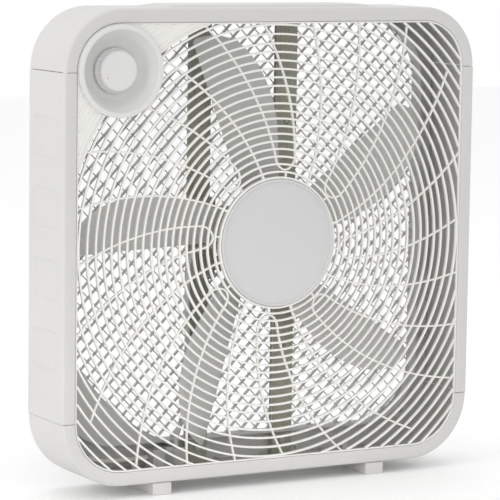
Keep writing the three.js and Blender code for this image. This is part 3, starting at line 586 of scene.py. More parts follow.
@dataclass
class HousingShells:
    """The four moulded parts of the channel-section housing.

    Attributes:
        measures: The shared sizes.
        edge: Rounding of the outer front and rear edges.
        lip: Rounding of the bezel's inner edge.
        seam: Half of the gap between two parts.
        pad_pitch: Distance between the sunk pads of a side panel.
        pad_height: Height of a pad.
        pad_first: Height of the lowest pad's middle above the housing's low edge.
        pad_depth: Depth of a pad.
        pad_radius: Rounding of a pad's corners.
        seam_high: Height of the upper seam's middle.
        seam_low: Height of the lower seam's middle.
    """

    measures: Housing
    edge: float = 3.2 * MM
    lip: float = 1.6 * MM
    seam: float = 0.3 * MM
    pad_pitch: float = 77 * MM
    pad_height: float = 43 * MM
    pad_first: float = 150 * MM
    pad_depth: float = 1.7 * MM
    pad_radius: float = 9 * MM
    seam_high: float = field(init=False)
    seam_low: float = field(init=False)

    def __post_init__(self) -> None:
        """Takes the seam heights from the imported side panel."""
        low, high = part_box("left_side_panel")
        self.seam_low, self.seam_high = low.z - self.seam, high.z + self.seam

    def section(self) -> Profile:
        """The channel section as pairs of inset and Y, closed, starting at the front bezel's inner edge."""
        m = self.measures
        points: Profile = [(m.flange, m.front + m.wall), (m.flange, m.front + self.lip)]
        points += self._arc(m.flange - self.lip, m.front + self.lip, self.lip, 0, 90)
        points += self._arc(self.edge, m.front + self.edge, self.edge, 90, 180)
        points += [(0.0, m.front + 12 * MM), (0.0, m.rear - 8 * MM)]
        points += self._arc(self.edge, m.rear - self.edge, self.edge, 180, 270)
        points += self._arc(m.flange - self.lip, m.rear - self.lip, self.lip, 270, 360)
        points += [(m.flange, m.rear - m.wall), (m.wall, m.rear - m.wall), (m.wall, m.front + m.wall)]
        return points

    def _arc(self, inset: float, y: float, radius: float, start: float, end: float) -> Profile:
        """Points of a quarter round in inset and Y."""
        steps = 4
        arc = []
        for step in range(steps + 1):
            angle = math.radians(start + (end - start) * step / steps)
            arc.append((inset + radius * math.cos(angle), y - radius * math.sin(angle)))
        return arc

    def ring(self, side_inset: float) -> bmesh.types.BMesh:
        """The whole channel ring.

        Args:
            side_inset: How far its sides are moved inwards.

        Returns:
            The ring as a closed mesh.
        """
        m = self.measures
        bm = bmesh.new()
        loops = []
        for inset, y in self.section():
            share = max(0.0, 1 - inset / m.flange)
            points = m.outline(inset, side_inset * share, arc_steps=28)
            loops.append(add_level_loop(bm, points, y))
        skin(bm, loops)
        return bm

    def cut(self, bm: bmesh.types.BMesh, height: float, keep_above: bool) -> None:
        """Cuts a ring across at a height and closes the cut ends.

        Args:
            bm: The ring.
            height: Z of the cut.
            keep_above: Keeps what lies above the cut, else what lies below.
        """
        geom = list(bm.verts) + list(bm.edges) + list(bm.faces)
        cut = bmesh.ops.bisect_plane(
            bm,
            geom=geom,
            plane_co=(0, 0, height),
            plane_no=(0, 0, 1),
            clear_inner=keep_above,
            clear_outer=not keep_above,
        )["geom_cut"]
        edges = [part for part in cut if isinstance(part, bmesh.types.BMEdge)]
        for sign in (-1, 1):
            bmesh.ops.edgeloop_fill(bm, edges=[edge for edge in edges if edge.verts[0].co.x * sign > 0])

    def build(self) -> None:
        """Builds the two shells, the two side panels and the feet."""
        bm = self.ring(self.measures.corner_inset)
        self.cut(bm, self.seam_high + self.seam, keep_above=True)
        self._raise_grip(bm)
        finish_piece(bm, "top_shell_shown", Finishes.SHELL, Body.HOUSING, ["top_shell"])
        bm = self.ring(self.measures.corner_inset)
        self.cut(bm, self.seam_low - self.seam, keep_above=False)
        self._add_foot_bosses(bm)
        finish_piece(bm, "bottom_shell_shown", Finishes.SHELL, Body.HOUSING, ["bottom_shell"])
        for name, sign in (("left_side_panel", -1), ("right_side_panel", 1)):
            bm = self.ring(0.0)
            self.cut(bm, self.seam_high - self.seam, keep_above=False)
            self.cut(bm, self.seam_low + self.seam, keep_above=True)
            self._keep_side(bm, sign)
            self._sink_pads(bm, sign)
            finish_piece(bm, name + "_shown", Finishes.SHELL, Body.HOUSING, [name])
        for name in ("left_foot", "right_foot"):
            self._build_foot(name)

    def _keep_side(self, bm: bmesh.types.BMesh, sign: int) -> None:
        """Removes the half of a ring that lies on the other side."""
        away = [vert for vert in bm.verts if vert.co.x * sign < 0]
        bmesh.ops.delete(bm, geom=away, context="VERTS")

    def _raise_grip(self, bm: bmesh.types.BMesh) -> None:
        """Raises the grip along the middle of the top wall, with a swoosh at each end."""
        top = self.measures.high
        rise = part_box("top_shell")[1].z - top
        half, ramp = 108 * MM, 34 * MM
        front, rear, ease = self.measures.front + 14 * MM, self.measures.rear - 10 * MM, 4 * MM
        long_edges = [
            edge
            for edge in bm.edges
            if min(vert.co.z for vert in edge.verts) > top - NEAR and edge.calc_length() > 0.2
        ]
        bmesh.ops.subdivide_edges(bm, edges=long_edges, cuts=96, use_grid_fill=True)
        across = [
            edge
            for edge in bm.edges
            if min(vert.co.z for vert in edge.verts) > top - NEAR and edge.calc_length() > 0.05
        ]
        bmesh.ops.subdivide_edges(bm, edges=across, cuts=40, use_grid_fill=True)
        for vert in bm.verts:
            if vert.co.z > top - NEAR:
                shift = 14 * MM * math.sin(math.pi * (vert.co.y - front) / (rear - front))
                along = smooth_step((half + ramp + shift - abs(vert.co.x)) / ramp)
                deep = smooth_step((vert.co.y - front) / ease) * smooth_step((rear - vert.co.y) / ease)
                vert.co.z += rise * along * deep

    def _sink_pads(self, bm: bmesh.types.BMesh, sign: int) -> None:
        """Sinks four shallow rounded pads into the outer wall."""
        wall = sign * self.measures.half_width
        outer = [
            face
            for face in bm.faces
            if abs(face.normal.x) > 0.9 and all(abs(vert.co.x - wall) < NEAR for vert in face.verts)
        ]
        edges = list({edge for face in outer for edge in face.edges})
        upright = [edge for edge in edges if abs(edge.verts[0].co.z - edge.verts[1].co.z) > 0.05]
        bmesh.ops.subdivide_edges(bm, edges=upright, cuts=230, use_grid_fill=True)
        level = [
            edge
            for edge in bm.edges
            if all(abs(vert.co.x - wall) < NEAR for vert in edge.verts)
            and abs(edge.verts[0].co.y - edge.verts[1].co.y) > 0.03
        ]
        bmesh.ops.subdivide_edges(bm, edges=level, cuts=36, use_grid_fill=True)
        for vert in bm.verts:
            if abs(vert.co.x - wall) < NEAR:
                vert.co.x -= sign * self.pad_depth * self._pad_share(vert.co.y, vert.co.z)

    def _pad_share(self, y: float, z: float) -> float:
        """How far a point of the side wall lies inside a pad, from 0 to 1."""
        m = self.measures
        low, high = m.front + 16 * MM, m.rear - 12 * MM
        index = min(max(round((z - m.low - self.pad_first) / self.pad_pitch), 0), 3)
        dz = abs(z - (m.low + self.pad_first + index * self.pad_pitch)) - self.pad_height / 2
        dy = max(low - y, y - high)
        radius = self.pad_radius
        corner = math.hypot(max(dz + radius, 0), max(dy + radius, 0)) - radius
        inside = corner if max(dz, dy) > -radius else max(dz, dy)
        return smooth_step(0.5 - inside / (2.4 * MM))

    def _add_foot_bosses(self, bm: bmesh.types.BMesh) -> None:
        """Adds the screw bosses and stiffening ribs on the inner floor."""
        m = self.measures
        floor = m.low + m.wall
        for index in range(1, 5):
            low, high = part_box(f"foot_screw_{index}")
            middle = (low + high) / 2
            profile = [
                (4.2 * MM, 0.0),
                (4.2 * MM, 8 * MM),
                (3.6 * MM, 8.6 * MM),
                (2 * MM, 8.6 * MM),
                (2 * MM, 0.0),
            ]
            verts = turn_profile(bm, profile, 0.0, 0.0, 20)
            turn = Matrix.Rotation(math.radians(90), 4, "X")
            place = Matrix.Translation((middle.x, middle.y, floor))
            bmesh.ops.transform(bm, matrix=place @ turn, verts=verts)
        for x in (-0.11, -0.03, 0.03, 0.11, 0.165):
            low = (x - 0.8 * MM, m.front + 8 * MM, floor - 0.2 * MM)
            high = (x + 0.8 * MM, m.rear - 10 * MM, floor + 4 * MM)
            add_slab(bm, low, high, bevel=0.4 * MM)

    def _build_foot(self, name: str) -> None:
        """Builds one foot: a rounded bar with a soft nose at each end."""
        low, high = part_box(name)
        bm = bmesh.new()
        add_slab(bm, low, high, bevel=1.2 * MM, segments=3)
        noses = [
            edge
            for edge in bm.edges
            if edge.calc_length() > 15 * MM
            and all(vert.co.z < low.z + 2 * MM for vert in edge.verts)
            and abs(edge.verts[0].co.x - edge.verts[1].co.x) > 15 * MM
            and min(abs(edge.verts[0].co.y - low.y), abs(edge.verts[0].co.y - high.y)) < NEAR
        ]
        bmesh.ops.bevel(bm, geom=noses, offset=4 * MM, segments=4, profile=0.5, affect="EDGES", material=-1)
        finish_piece(bm, name + "_shown", Finishes.SHELL, Body.HOUSING, [name])


def smooth_step(share: float) -> float:
    """A smooth rise from 0 to 1 as the share goes from 0 to 1."""
    t = min(max(share, 0.0), 1.0)
    return t * t * (3 - 2 * t)


# ---------------------------------------------------------------- front grille


@dataclass
class FrontGrille:
    """The domed front grille: rings, swirled arms with U-shaped ends, a border and a corner web.

    Attributes:
        measures: The shared sizes.
        pitches: Start radius, pitch and number of each family of rings.
        ring_width: Width of a ring.
        ring_depth: Depth of a ring.
        dome_rise: Height of the dome at the hub.
        dome_radius: Radius where the dome starts.
        hub_radius: Radius of the hub cap.
        arms: Number of arms.
        first_arm: Angle of the first arm.
        swirl: Turn of an arm outwards, in degrees for each metre.
        swirl_start: Radius where an arm is at its own angle.
        arm_width: Width of an arm.
        arm_depth: Depth of an arm.
        arm_setback: How far an arm's front lies behind the rings.
        arm_reach: Largest radius of an arm.
        turn_radius: Radius where the U between two arms starts.
        apex_radius: Radius of the U's inner end.
        stubs: Number of short bars round the hub seat.
        arc_step: Length of a ring's segments, in degrees times metres.
        web_radius: Inner radius of the corner web.
        web_angles: Angles of the web's two ends.
        dish_radius: Radius of the room for the control dish.
        dish_middle: X and Z of the dish's axis.
    """

    measures: Housing
    pitches: tuple[tuple[float, float, int], ...] = (
        (79.2 * MM, 8.39 * MM, 10),
        (164.7 * MM, 9.35 * MM, 7),
        (231.2 * MM, 10.33 * MM, 10),
    )
    ring_width: float = 2.2 * MM
    ring_depth: float = 3.2 * MM
    dome_rise: float = 7.5 * MM
    dome_radius: float = 221 * MM
    hub_radius: float = 71 * MM
    arms: int = 24
    first_arm: float = -1.2
    swirl: float = -117.0
    swirl_start: float = 92 * MM
    arm_width: float = 2.0 * MM
    arm_depth: float = 2.8 * MM
    arm_setback: float = 0.9 * MM
    arm_reach: float = 292 * MM
    turn_radius: float = 96 * MM
    apex_radius: float = 81.5 * MM
    stubs: int = 16
    arc_step: float = 0.12
    web_radius: float = 257 * MM
    web_angles: tuple[float, float] = (-70.5, -19.3)
    dish_radius: float = 48.5 * MM
    dish_middle: tuple[float, float] = field(init=False)

    @property
    def border(self) -> float:
        """Inset of the border's inner edge."""
        return self.measures.flange + 2.0 * MM

    def front_at(self, radius: float) -> float:
        """Y of the grille's front at a radius."""
        share = min(max((self.dome_radius - radius) / (self.dome_radius - self.hub_radius), 0.0), 1.0)
        return self.measures.front + 0.4 * MM - self.dome_rise * share**1.4

    def __post_init__(self) -> None:
        """Takes the speed control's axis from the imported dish."""
        self.dish_middle = find_middle("control_dish")

    def is_open(self, angle: float, radius: float) -> bool:
        """Whether a point is inside the border and clear of the control dish."""
        x, _, z = polar(angle, radius, 0.0, self.measures.axis_z)
        cx, cz = self.dish_middle
        if math.hypot(x - cx, z - cz) < self.dish_radius:
            return False
        return self.measures.contains(x, z, self.border - 0.5 * MM)

    def open_arcs(self, radius: float) -> list[tuple[float, float]]:
        """The stretches of a ring that are inside the border, in degrees."""
        step = 0.25
        count = round(360 / step)
        flags = [self.is_open(index * step, radius) for index in range(count)]
        if all(flags):
            return [(0.0, 360.0)]
        first = next((index for index in range(count) if flags[index] and not flags[index - 1]), None)
        if first is None:
            return []
        arcs, start = [], None
        for index in range(first, first + count + 1):
            is_on = flags[index % count]
            if is_on and start is None:
                start = index
            if not is_on and start is not None:
                arcs.append((start * step, (index - 1) * step))
                start = None
        return [(a, b) for a, b in arcs if b - a > 1.0]

    def add_rings(self, bm: bmesh.types.BMesh) -> None:
        """Adds every ring, whole or cut off at the border."""
        for start, pitch, count in self.pitches:
            for index in range(count):
                radius = start + index * pitch
                for low, high in self.open_arcs(radius):
                    steps = max(6, round((high - low) * radius / self.arc_step))
                    self._add_arc(bm, radius, low, high, min(steps, 150))

    def _add_arc(self, bm: bmesh.types.BMesh, radius: float, low: float, high: float, steps: int) -> None:
        """Adds one stretch of a ring."""
        z0, y = self.measures.axis_z, self.front_at(radius)

        def path(share: float) -> Point:
            return polar(low + (high - low) * share, radius, y, z0)

        add_ribbon(bm, path, steps, self.ring_width, self.ring_depth)

    def arm_angle(self, index: float, radius: float) -> float:
        """Angle of an arm at a radius."""
        return self.first_arm + index * 360 / self.arms + self.swirl * (radius - self.swirl_start)

    def arm_end(self, index: int) -> float:
        """Radius at which an arm meets the border, the control or the corner web."""
        radius = self.turn_radius
        while radius < self.arm_reach:
            angle = self.arm_angle(index, radius)
            wrapped = (angle + 180) % 360 - 180
            in_web = self.web_angles[0] < wrapped < self.web_angles[1] and radius > self.web_radius
            if in_web or not self.is_open(angle, radius):
                break
            radius += 1 * MM
        return radius

    def add_arms(self, bm: bmesh.types.BMesh) -> None:
        """Adds the arms: in each three, two join in a U near the hub and one starts at the hub."""
        z0 = self.measures.axis_z
        for index in range(self.arms):
            start = self.hub_radius if index % 3 == 2 else self.turn_radius
            end = self.arm_end(index)

            def path(share: float, index: int = index, start: float = start, end: float = end) -> Point:
                radius = start + (end - start) * share
                y = self.front_at(radius) + self.arm_setback
                return polar(self.arm_angle(index, radius), radius, y, z0)

            add_ribbon(bm, path, 26, self.arm_width, self.arm_depth)
            if index % 3 == 0:
                self._add_turn(bm, index)

    def _add_turn(self, bm: bmesh.types.BMesh, index: int) -> None:
        """Adds the U that joins an arm to the next one."""
        z0 = self.measures.axis_z
        first, second = (self.arm_angle(index + step, self.turn_radius) for step in (0, 1))

        def path(share: float) -> Point:
            turn = math.pi * (share - 0.5)
            angle = (first + second) / 2 + (second - first) / 2 * math.sin(turn)
            radius = self.turn_radius - (self.turn_radius - self.apex_radius) * math.cos(turn)
            return polar(angle, radius, self.front_at(radius) + self.arm_setback, z0)

        add_ribbon(bm, path, 20, self.arm_width, self.arm_depth)

    def add_stubs(self, bm: bmesh.types.BMesh) -> None:
        """Adds the short bars between the hub seat and the first ring."""
        z0 = self.measures.axis_z
        for index in range(self.stubs):
            angle = 7.5 + index * 360 / self.stubs

            def path(share: float, angle: float = angle) -> Point:
                radius = 70 * MM + 9.5 * MM * share
                return polar(angle, radius, self.front_at(radius) + self.arm_setback, z0)

            add_ribbon(bm, path, 2, self.arm_width, self.arm_depth)

    def add_seat(self, bm: bmesh.types.BMesh) -> None:
        """Adds the ring that carries the hub cap."""
        y = self.front_at(0.0)
        profile = [
            (71.4 * MM, y + 5 * MM),
            (71.4 * MM, y + 0.8 * MM),
            (72 * MM, y + 0.2 * MM),
            (73.2 * MM, y + 0.2 * MM),
            (73.8 * MM, y + 0.8 * MM),
            (73.8 * MM, y + 5.5 * MM),
            (40 * MM, y + 5.5 * MM),
            (40 * MM, y + 5 * MM),
        ]
        turn_profile(bm, profile + profile[:1], 0.0, self.measures.axis_z, 96)

    def add_border(self, bm: bmesh.types.BMesh) -> None:
        """Adds the frame that runs round inside the bezel."""
        m = self.measures
        front = m.front + 0.5 * MM
        inner, back = self.border, front + self.ring_depth
        section = (
            (m.flange + 0.4 * MM, front + 0.3 * MM),
            (inner - 0.4 * MM, front + 0.3 * MM),
            (inner, front + 0.7 * MM),
            (inner, back),
            (m.wall + 1 * MM, back),
            (m.wall + 1 * MM, m.front + m.wall + 0.5 * MM),
            (m.flange + 0.4 * MM, m.front + m.wall + 0.5 * MM),
        )
        loops = []
        for inset, y in section:
            points = m.outline(inset, m.corner_inset * max(0.0, 1 - inset / m.flange), arc_steps=28)
            loops.append(add_level_loop(bm, points, y))
        skin(bm, loops)

    def add_web(self, bm: bmesh.types.BMesh) -> None:
        """Adds the solid web behind the control, with a stiffened arc edge."""
        first, last = self.web_angles
        columns, rows = 120, 48
        made = bmesh.ops.create_grid(bm, x_segments=columns, y_segments=rows, size=0.5)["verts"]
        m, y = self.measures, self.front_at(self.web_radius) + 1.3 * MM
        cx, cz = self.dish_middle
        shares = {round(vert.co.x, 5) for vert in made}
        edges = {share: self._edge_radius(first + (last - first) * (share + 0.5)) for share in shares}
        for vert in made:
            angle = first + (last - first) * (vert.co.x + 0.5)
            edge = edges[round(vert.co.x, 5)]
            radius = self.web_radius + (edge - self.web_radius) * (vert.co.y + 0.5)
            vert.co = Vector(polar(angle, radius, y, m.axis_z))
        room = self.dish_radius - 1 * MM
        inside = [vert for vert in made if math.hypot(vert.co.x - cx, vert.co.z - cz) < room]
        bmesh.ops.delete(bm, geom=inside, context="VERTS")
        kept = [vert for vert in made if vert.is_valid]
        faces = {face for vert in kept for face in vert.link_faces}
        for vert in extrude(bm, faces):
            vert.co.y += self.ring_width
        for low, high in self.open_arcs(self.web_radius):
            low, high = ((edge + 180) % 360 - 180 for edge in (low, high))
            if high > low and low < last and high > first:
                self._add_arc(bm, self.web_radius, max(low, first), min(high, last), 40)
        for angle in self.web_angles:
            self._add_web_side(bm, angle)

    def _edge_radius(self, angle: float) -> float:
        """Radius at which a ray from the hub meets the border."""
        radius = self.measures.half_width - 30 * MM
        while True:
            x, _, z = polar(angle, radius, 0.0, self.measures.axis_z)
            if not self.measures.contains(x, z, self.border - 1 * MM):
                return radius
            radius += 0.5 * MM

    def _add_web_side(self, bm: bmesh.types.BMesh, angle: float) -> None:
        """Adds the bar along one end of the web."""
        low, high, z0 = self.web_radius, self._edge_radius(angle), self.measures.axis_z

        def path(share: float) -> Point:
            radius = low + (high - low) * share
            return polar(angle, radius, self.front_at(radius) + 0.4 * MM, z0)

        add_ribbon(bm, path, 3, self.ring_width, self.ring_depth)

    def build(self) -> None:
        """Builds the grille and its hub cap."""
        bm = bmesh.new()
        self.add_rings(bm)
        self.add_arms(bm)
        self.add_stubs(bm)
        self.add_seat(bm)
        self.add_border(bm)
        self.add_web(bm)
        finish_piece(bm, "front_grille_shown", Finishes.GRILLE, Body.HOUSING, ["front_grille"])
        self._build_cap()

    def _build_cap(self) -> None:
        """Builds the hub cap: a slightly crowned disc inside a thin raised lip."""
        low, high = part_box("hub_cap")
        radius = (high.x - low.x) / 2
        front = low.y
        profile: Profile = [(0.0, front + 0.5 * MM)]
        profile += [(r * MM, front + 0.5 * MM + 0.9 * MM * (r / 66) ** 4) for r in (15, 30, 45, 55, 62, 66)]
        profile += [
            (radius - 3.4 * MM, front + 1.4 * MM),
            (radius - 2.9 * MM, front + 0.4 * MM),
            (radius - 2.2 * MM, front),
            (radius - 1.2 * MM, front),
            (radius - 0.3 * MM, front + 0.4 * MM),
            (radius, front + 1.1 * MM),
            (radius, high.y),
            (0.0, high.y),
        ]
        bm = bmesh.new()
        turn_profile(bm, profile, 0.0, self.measures.axis_z, 128)
        finish_piece(bm, "hub_cap_shown", Finishes.CAP, Body.HOUSING, ["hub_cap"])


# ---------------------------------------------------------------- rear grille


@dataclass
class RearGrille:
    """The rear grille: a diagonal lattice in a plate, a forward collar and a corner web.

    Attributes:
        measures: The shared sizes.
        pitch: Distance between the lattice bars.
        fine_bar: Width and depth of the bars that fall to the right, seen from the front.
        stout_bar: Width and depth of the bars that rise to the right.
        half: Half of the opening's width.
        low_margin: Height of the opening's low edge above the housing's.
        high_margin: Distance of the opening's high edge below the housing's.
        corner: Radius of the opening's corners.
        collar_depth: How far the collar stands forward of the plate.
        collar_wall: Thickness of the collar.
        web_radius: Radius of the arc that bounds the lower left web.
        plate_depth: Thickness of the plate.
    """

    measures: Housing
    pitch: float = 12.7 * MM
    fine_bar: tuple[float, float] = (1.1 * MM, 1.6 * MM)
    stout_bar: tuple[float, float] = (1.6 * MM, 4.2 * MM)
    half: float = 231 * MM
    low_margin: float = 33 * MM
    high_margin: float = 17 * MM
    corner: float = 68 * MM
    collar_depth: float = 16 * MM
    collar_wall: float = 2.4 * MM
    web_radius: float = 250 * MM
    plate_depth: float = 3 * MM

    @property
    def plate_rear(self) -> float:
        """Y of the plate's rear face."""
        return self.measures.rear - self.measures.wall - 0.3 * MM

    @property
    def plate_front(self) -> float:
        """Y of the plate's front face."""
        return self.plate_rear - self.plate_depth

    def opening(self, grow: float = 0.0) -> list[Vector]:
        """Outline of the opening, made larger by a distance."""
        m = self.measures
        radius = self.corner + grow
        low, high = m.low + self.low_margin - grow, m.high - self.high_margin + grow
        return rounded_outline(self.half + grow, low, high, radius, radius, 28)

    def is_inside(self, x: float, z: float, grow: float) -> bool:
        """Whether a point is inside the opening made larger by a distance."""
        m = self.measures
        radius = self.corner + grow
        low, high = m.low + self.low_margin - grow, m.high - self.high_margin + grow
        return inside_rounded(x, z, self.half + grow, low, high, radius, radius)

    def add_plate(self, bm: bmesh.types.BMesh) -> None:
        """Adds the flat margin between the opening and the housing, and the collar."""
        m = self.measures
        outer = m.outline(m.wall + 0.3 * MM, m.corner_inset, arc_steps=28)
        collar_front = self.plate_front - self.collar_depth
        rows = (
            (outer, self.plate_rear),
            (outer, self.plate_front),
            (self.opening(self.collar_wall), self.plate_front),
            (self.opening(self.collar_wall), collar_front + 0.4 * MM),
            (self.opening(self.collar_wall - 0.4 * MM), collar_front),
            (self.opening(0.4 * MM), collar_front),
            (self.opening(), collar_front + 0.4 * MM),
            (self.opening(), self.plate_rear),
        )
        skin(bm, [add_level_loop(bm, points, y) for points, y in rows])

    def add_lattice(self, bm: bmesh.types.BMesh) -> None:
        """Adds both families of diagonal bars."""
        count = math.ceil(self.half * math.sqrt(2) / self.pitch)
        for family, size in ((-1, self.fine_bar), (1, self.stout_bar)):
            along = Vector((1, 0, family)).normalized()
            across = Vector((-family, 0, 1)).normalized()
            for index in range(-count, count + 1):
                offset = across * index * self.pitch
                start, end = self._clip(along, offset)
                if end - start > 4 * MM:
                    self._add_bar(bm, offset + along * start, offset + along * end, size)

    def _clip(self, along: Vector, offset: Vector) -> tuple[float, float]:
        """The stretch of a line that is inside the opening."""
        step = 1 * MM
        reach = round(0.34 / step)
        z0 = self.measures.axis_z
        on = []
        for index in range(-reach, reach + 1):
            place = offset + along * index * step
            if self.is_inside(place.x, z0 + place.z, 1 * MM):
                on.append(index * step)
        return (on[0], on[-1]) if on else (0.0, 0.0)

    def _add_bar(
        self, bm: bmesh.types.BMesh, start: Vector, end: Vector, size: tuple[float, float]
    ) -> None:
        """Adds one lattice bar of a width and depth between two points round the axis."""
        width, depth = size
        y, z0 = self.plate_rear - self.plate_depth / 2 - depth / 2, self.measures.axis_z

        def path(share: float) -> Point:
            place = start.lerp(end, share)
            return (place.x, y, z0 + place.z)

        add_ribbon(bm, path, 1, width, depth)

    def add_corner_web(self, bm: bmesh.types.BMesh) -> None:
        """Adds the web that closes the lower left corner of the opening at the collar's front."""
        z0, y = self.measures.axis_z, self.plate_front - self.collar_depth
        first, last = 198.0, 262.0
        made = bmesh.ops.create_grid(bm, x_segments=90, y_segments=6, size=0.5)["verts"]
        for vert in made:
            angle = first + (last - first) * (vert.co.x + 0.5)
            edge = self._edge_radius(angle)
            radius = self.web_radius + (edge - self.web_radius) * (vert.co.y + 0.5)
            vert.co = Vector(polar(angle, max(radius, self.web_radius - 0.1 * MM), y + 0.3 * MM, z0))
        faces = {face for vert in made for face in vert.link_faces}
        for vert in extrude(bm, faces):
            vert.co.y += self.collar_wall

        def path(share: float) -> Point:
            return polar(first + (last - first) * share, self.web_radius, y, z0)

        add_ribbon(bm, path, 64, self.collar_wall, self.collar_depth)

    def _edge_radius(self, angle: float) -> float:
        """Radius at which a ray from the axis leaves the opening."""
        radius = self.half - 20 * MM
        while radius < 0.4:
            x, _, z = polar(angle, radius, 0.0, self.measures.axis_z)
            if not self.is_inside(x, z, 1 * MM):
                break
            radius += 0.5 * MM
        return max(radius, self.web_radius)

    def add_bosses(self, bm: bmesh.types.BMesh) -> None:
        """Adds a boss for each housing screw and each strut screw."""
        for index in range(1, 9):
            self._add_boss(bm, *find_middle(f"rear_screw_{index}"), self.plate_front - 6 * MM)
        for index in range(1, 5):
            name = f"strut_screw_{index}"
            self._add_boss(bm, *find_middle(name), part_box(name)[0].y + 4 * MM)

    def _add_boss(self, bm: bmesh.types.BMesh, x: float, z: float, front: float) -> None:
        """Adds one hollow boss."""
        rear = self.plate_front + 1 * MM
        profile = [
            (4.4 * MM, rear),
            (4.4 * MM, front + 0.4 * MM),
            (4.0 * MM, front),
            (2.2 * MM, front),
            (2.0 * MM, front + 0.3 * MM),
            (2.0 * MM, rear),
        ]
        turn_profile(bm, profile, x, z, 20)

    def build(self) -> None:
        """Builds the rear grille."""
        bm = bmesh.new()
        self.add_plate(bm)
        self.add_lattice(bm)
        self.add_corner_web(bm)
        self.add_bosses(bm)
        finish_piece(bm, "rear_grille_shown", Finishes.SHADE_DARKENED_WHITE, Body.HOUSING, ["rear_grille"])


# ---------------------------------------------------------------- speed control


@dataclass
class SpeedControl:
    """The recessed dish with its rotary knob.

    Attributes:
        measures: The shared sizes.
        knob_radius: Radius of the knob's face.
        scallops: Number of finger scallops round the knob's skirt.
        scallop_depth: Depth of a scallop.
        pointer_angle: Angle of the pointer mark round the knob.
        pointer_reach: Distance of the mark from the knob's axis.
        dish_steps: Segments of the dish round its axis.
    """

    measures: Housing
    knob_radius: float = 22 * MM
    scallops: int = 28
    scallop_depth: float = 0.7 * MM
    pointer_angle: float = -118.0
    pointer_reach: float = 16.4 * MM
    dish_steps: int = 128

    def build(self) -> None:
        """Builds the dish and the knob."""
        low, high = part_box("control_dish")
        x, z = find_middle("control_dish")
        self._build_dish(x, z, low.y, high.y, (high.x - low.x) / 2)
        self._build_knob(x, z)

    def _build_dish(self, x: float, z: float, front: float, rear: float, radius: float) -> None:
        """Builds the dish: a flat boss ring round a bowl with a steep upper wall."""
        floor = rear - 2.2 * MM
        profile: Profile = [
            (4.4 * MM, floor + 2.2 * MM),
            (4.4 * MM, floor),
            (28 * MM, floor),
            (31 * MM, floor - 0.8 * MM),
            (34 * MM, floor - 2.6 * MM),
            (36.6 * MM, floor - 5.4 * MM),
            (38.4 * MM, floor - 8 * MM),
            (41 * MM, floor - 12.4 * MM),
            (43.4 * MM, floor - 16 * MM),
            (44.6 * MM, front + 0.9 * MM),
            (45.2 * MM, front + 0.2 * MM),
            (45.9 * MM, front),
            (radius - 1.2 * MM, front + 0.3 * MM),
            (radius - 0.3 * MM, front + 0.7 * MM),
            (radius, front + 1.5 * MM),
            (radius, front + 11 * MM),
            (radius - 2.2 * MM, front + 11 * MM),
            (radius - 2.2 * MM, front + 3 * MM),
            (46.4 * MM, front + 3 * MM),
            (40.6 * MM, floor - 7 * MM),
            (36 * MM, floor - 0.6 * MM),
            (30 * MM, floor + 2.2 * MM),
            (4.4 * MM, floor + 2.2 * MM),
        ]
        bm = bmesh.new()
        turn_profile(bm, profile, x, z, self.dish_steps)
        finish_piece(bm, "control_dish_shown", Finishes.CONTROL, Body.HOUSING, ["control_dish"])

    def _build_knob(self, x: float, z: float) -> None:
        """Builds the knob with a dished face, a scalloped skirt and a small pointer mark."""
        low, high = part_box("speed_knob")
        front, rear, skirt = low.y, high.y, (high.x - low.x) / 2
        face = self.knob_radius
        profile: Profile = [
            (0.0, front + 0.7 * MM),
            (8 * MM, front + 0.55 * MM),
            (15 * MM, front + 0.2 * MM),
            (face - 3 * MM, front),
            (face - 1.6 * MM, front + 0.25 * MM),
            (face - 0.6 * MM, front + 0.9 * MM),
            (face, front + 2 * MM),
            (face + 0.5 * MM, front + 6.4 * MM),
            (skirt - 1.2 * MM, front + 8 * MM),
            (skirt - 0.3 * MM, front + 8.6 * MM),
            (skirt, front + 9.4 * MM),
            (skirt, rear),
            (skirt - 2 * MM, rear),
            (0.0, rear - 1 * MM),
        ]
        bm = bmesh.new()
        verts = turn_profile(bm, profile, x, z, self.scallops * 6)
        for vert in verts:
            reach = Vector((vert.co.x - x, 0, vert.co.z - z))
            if reach.length > face + 0.2 * MM:
                wave = max(0.0, math.cos(self.scallops * math.atan2(reach.z, reach.x)))
                vert.co -= reach.normalized() * self.scallop_depth * wave
        finish_piece(bm, "speed_knob_shown", Finishes.CONTROL, Body.KNOB, ["speed_knob"])
        px, _, pz = polar(self.pointer_angle, self.pointer_reach, 0.0, z)
        bm = bmesh.new()
        mark: Profile = [
            (0.0, 0.0),
            (1.1 * MM, 0.02 * MM),
            (1.4 * MM, 0.2 * MM),
            (1.4 * MM, 0.6 * MM),
            (0.0, 0.6 * MM),
        ]
        turn_profile(bm, mark, x + px, pz, 24, shift=front + 0.1 * MM)
        finish_piece(bm, "speed_pointer", Finishes.POINTER, Body.KNOB)


# ---------------------------------------------------------------- impeller


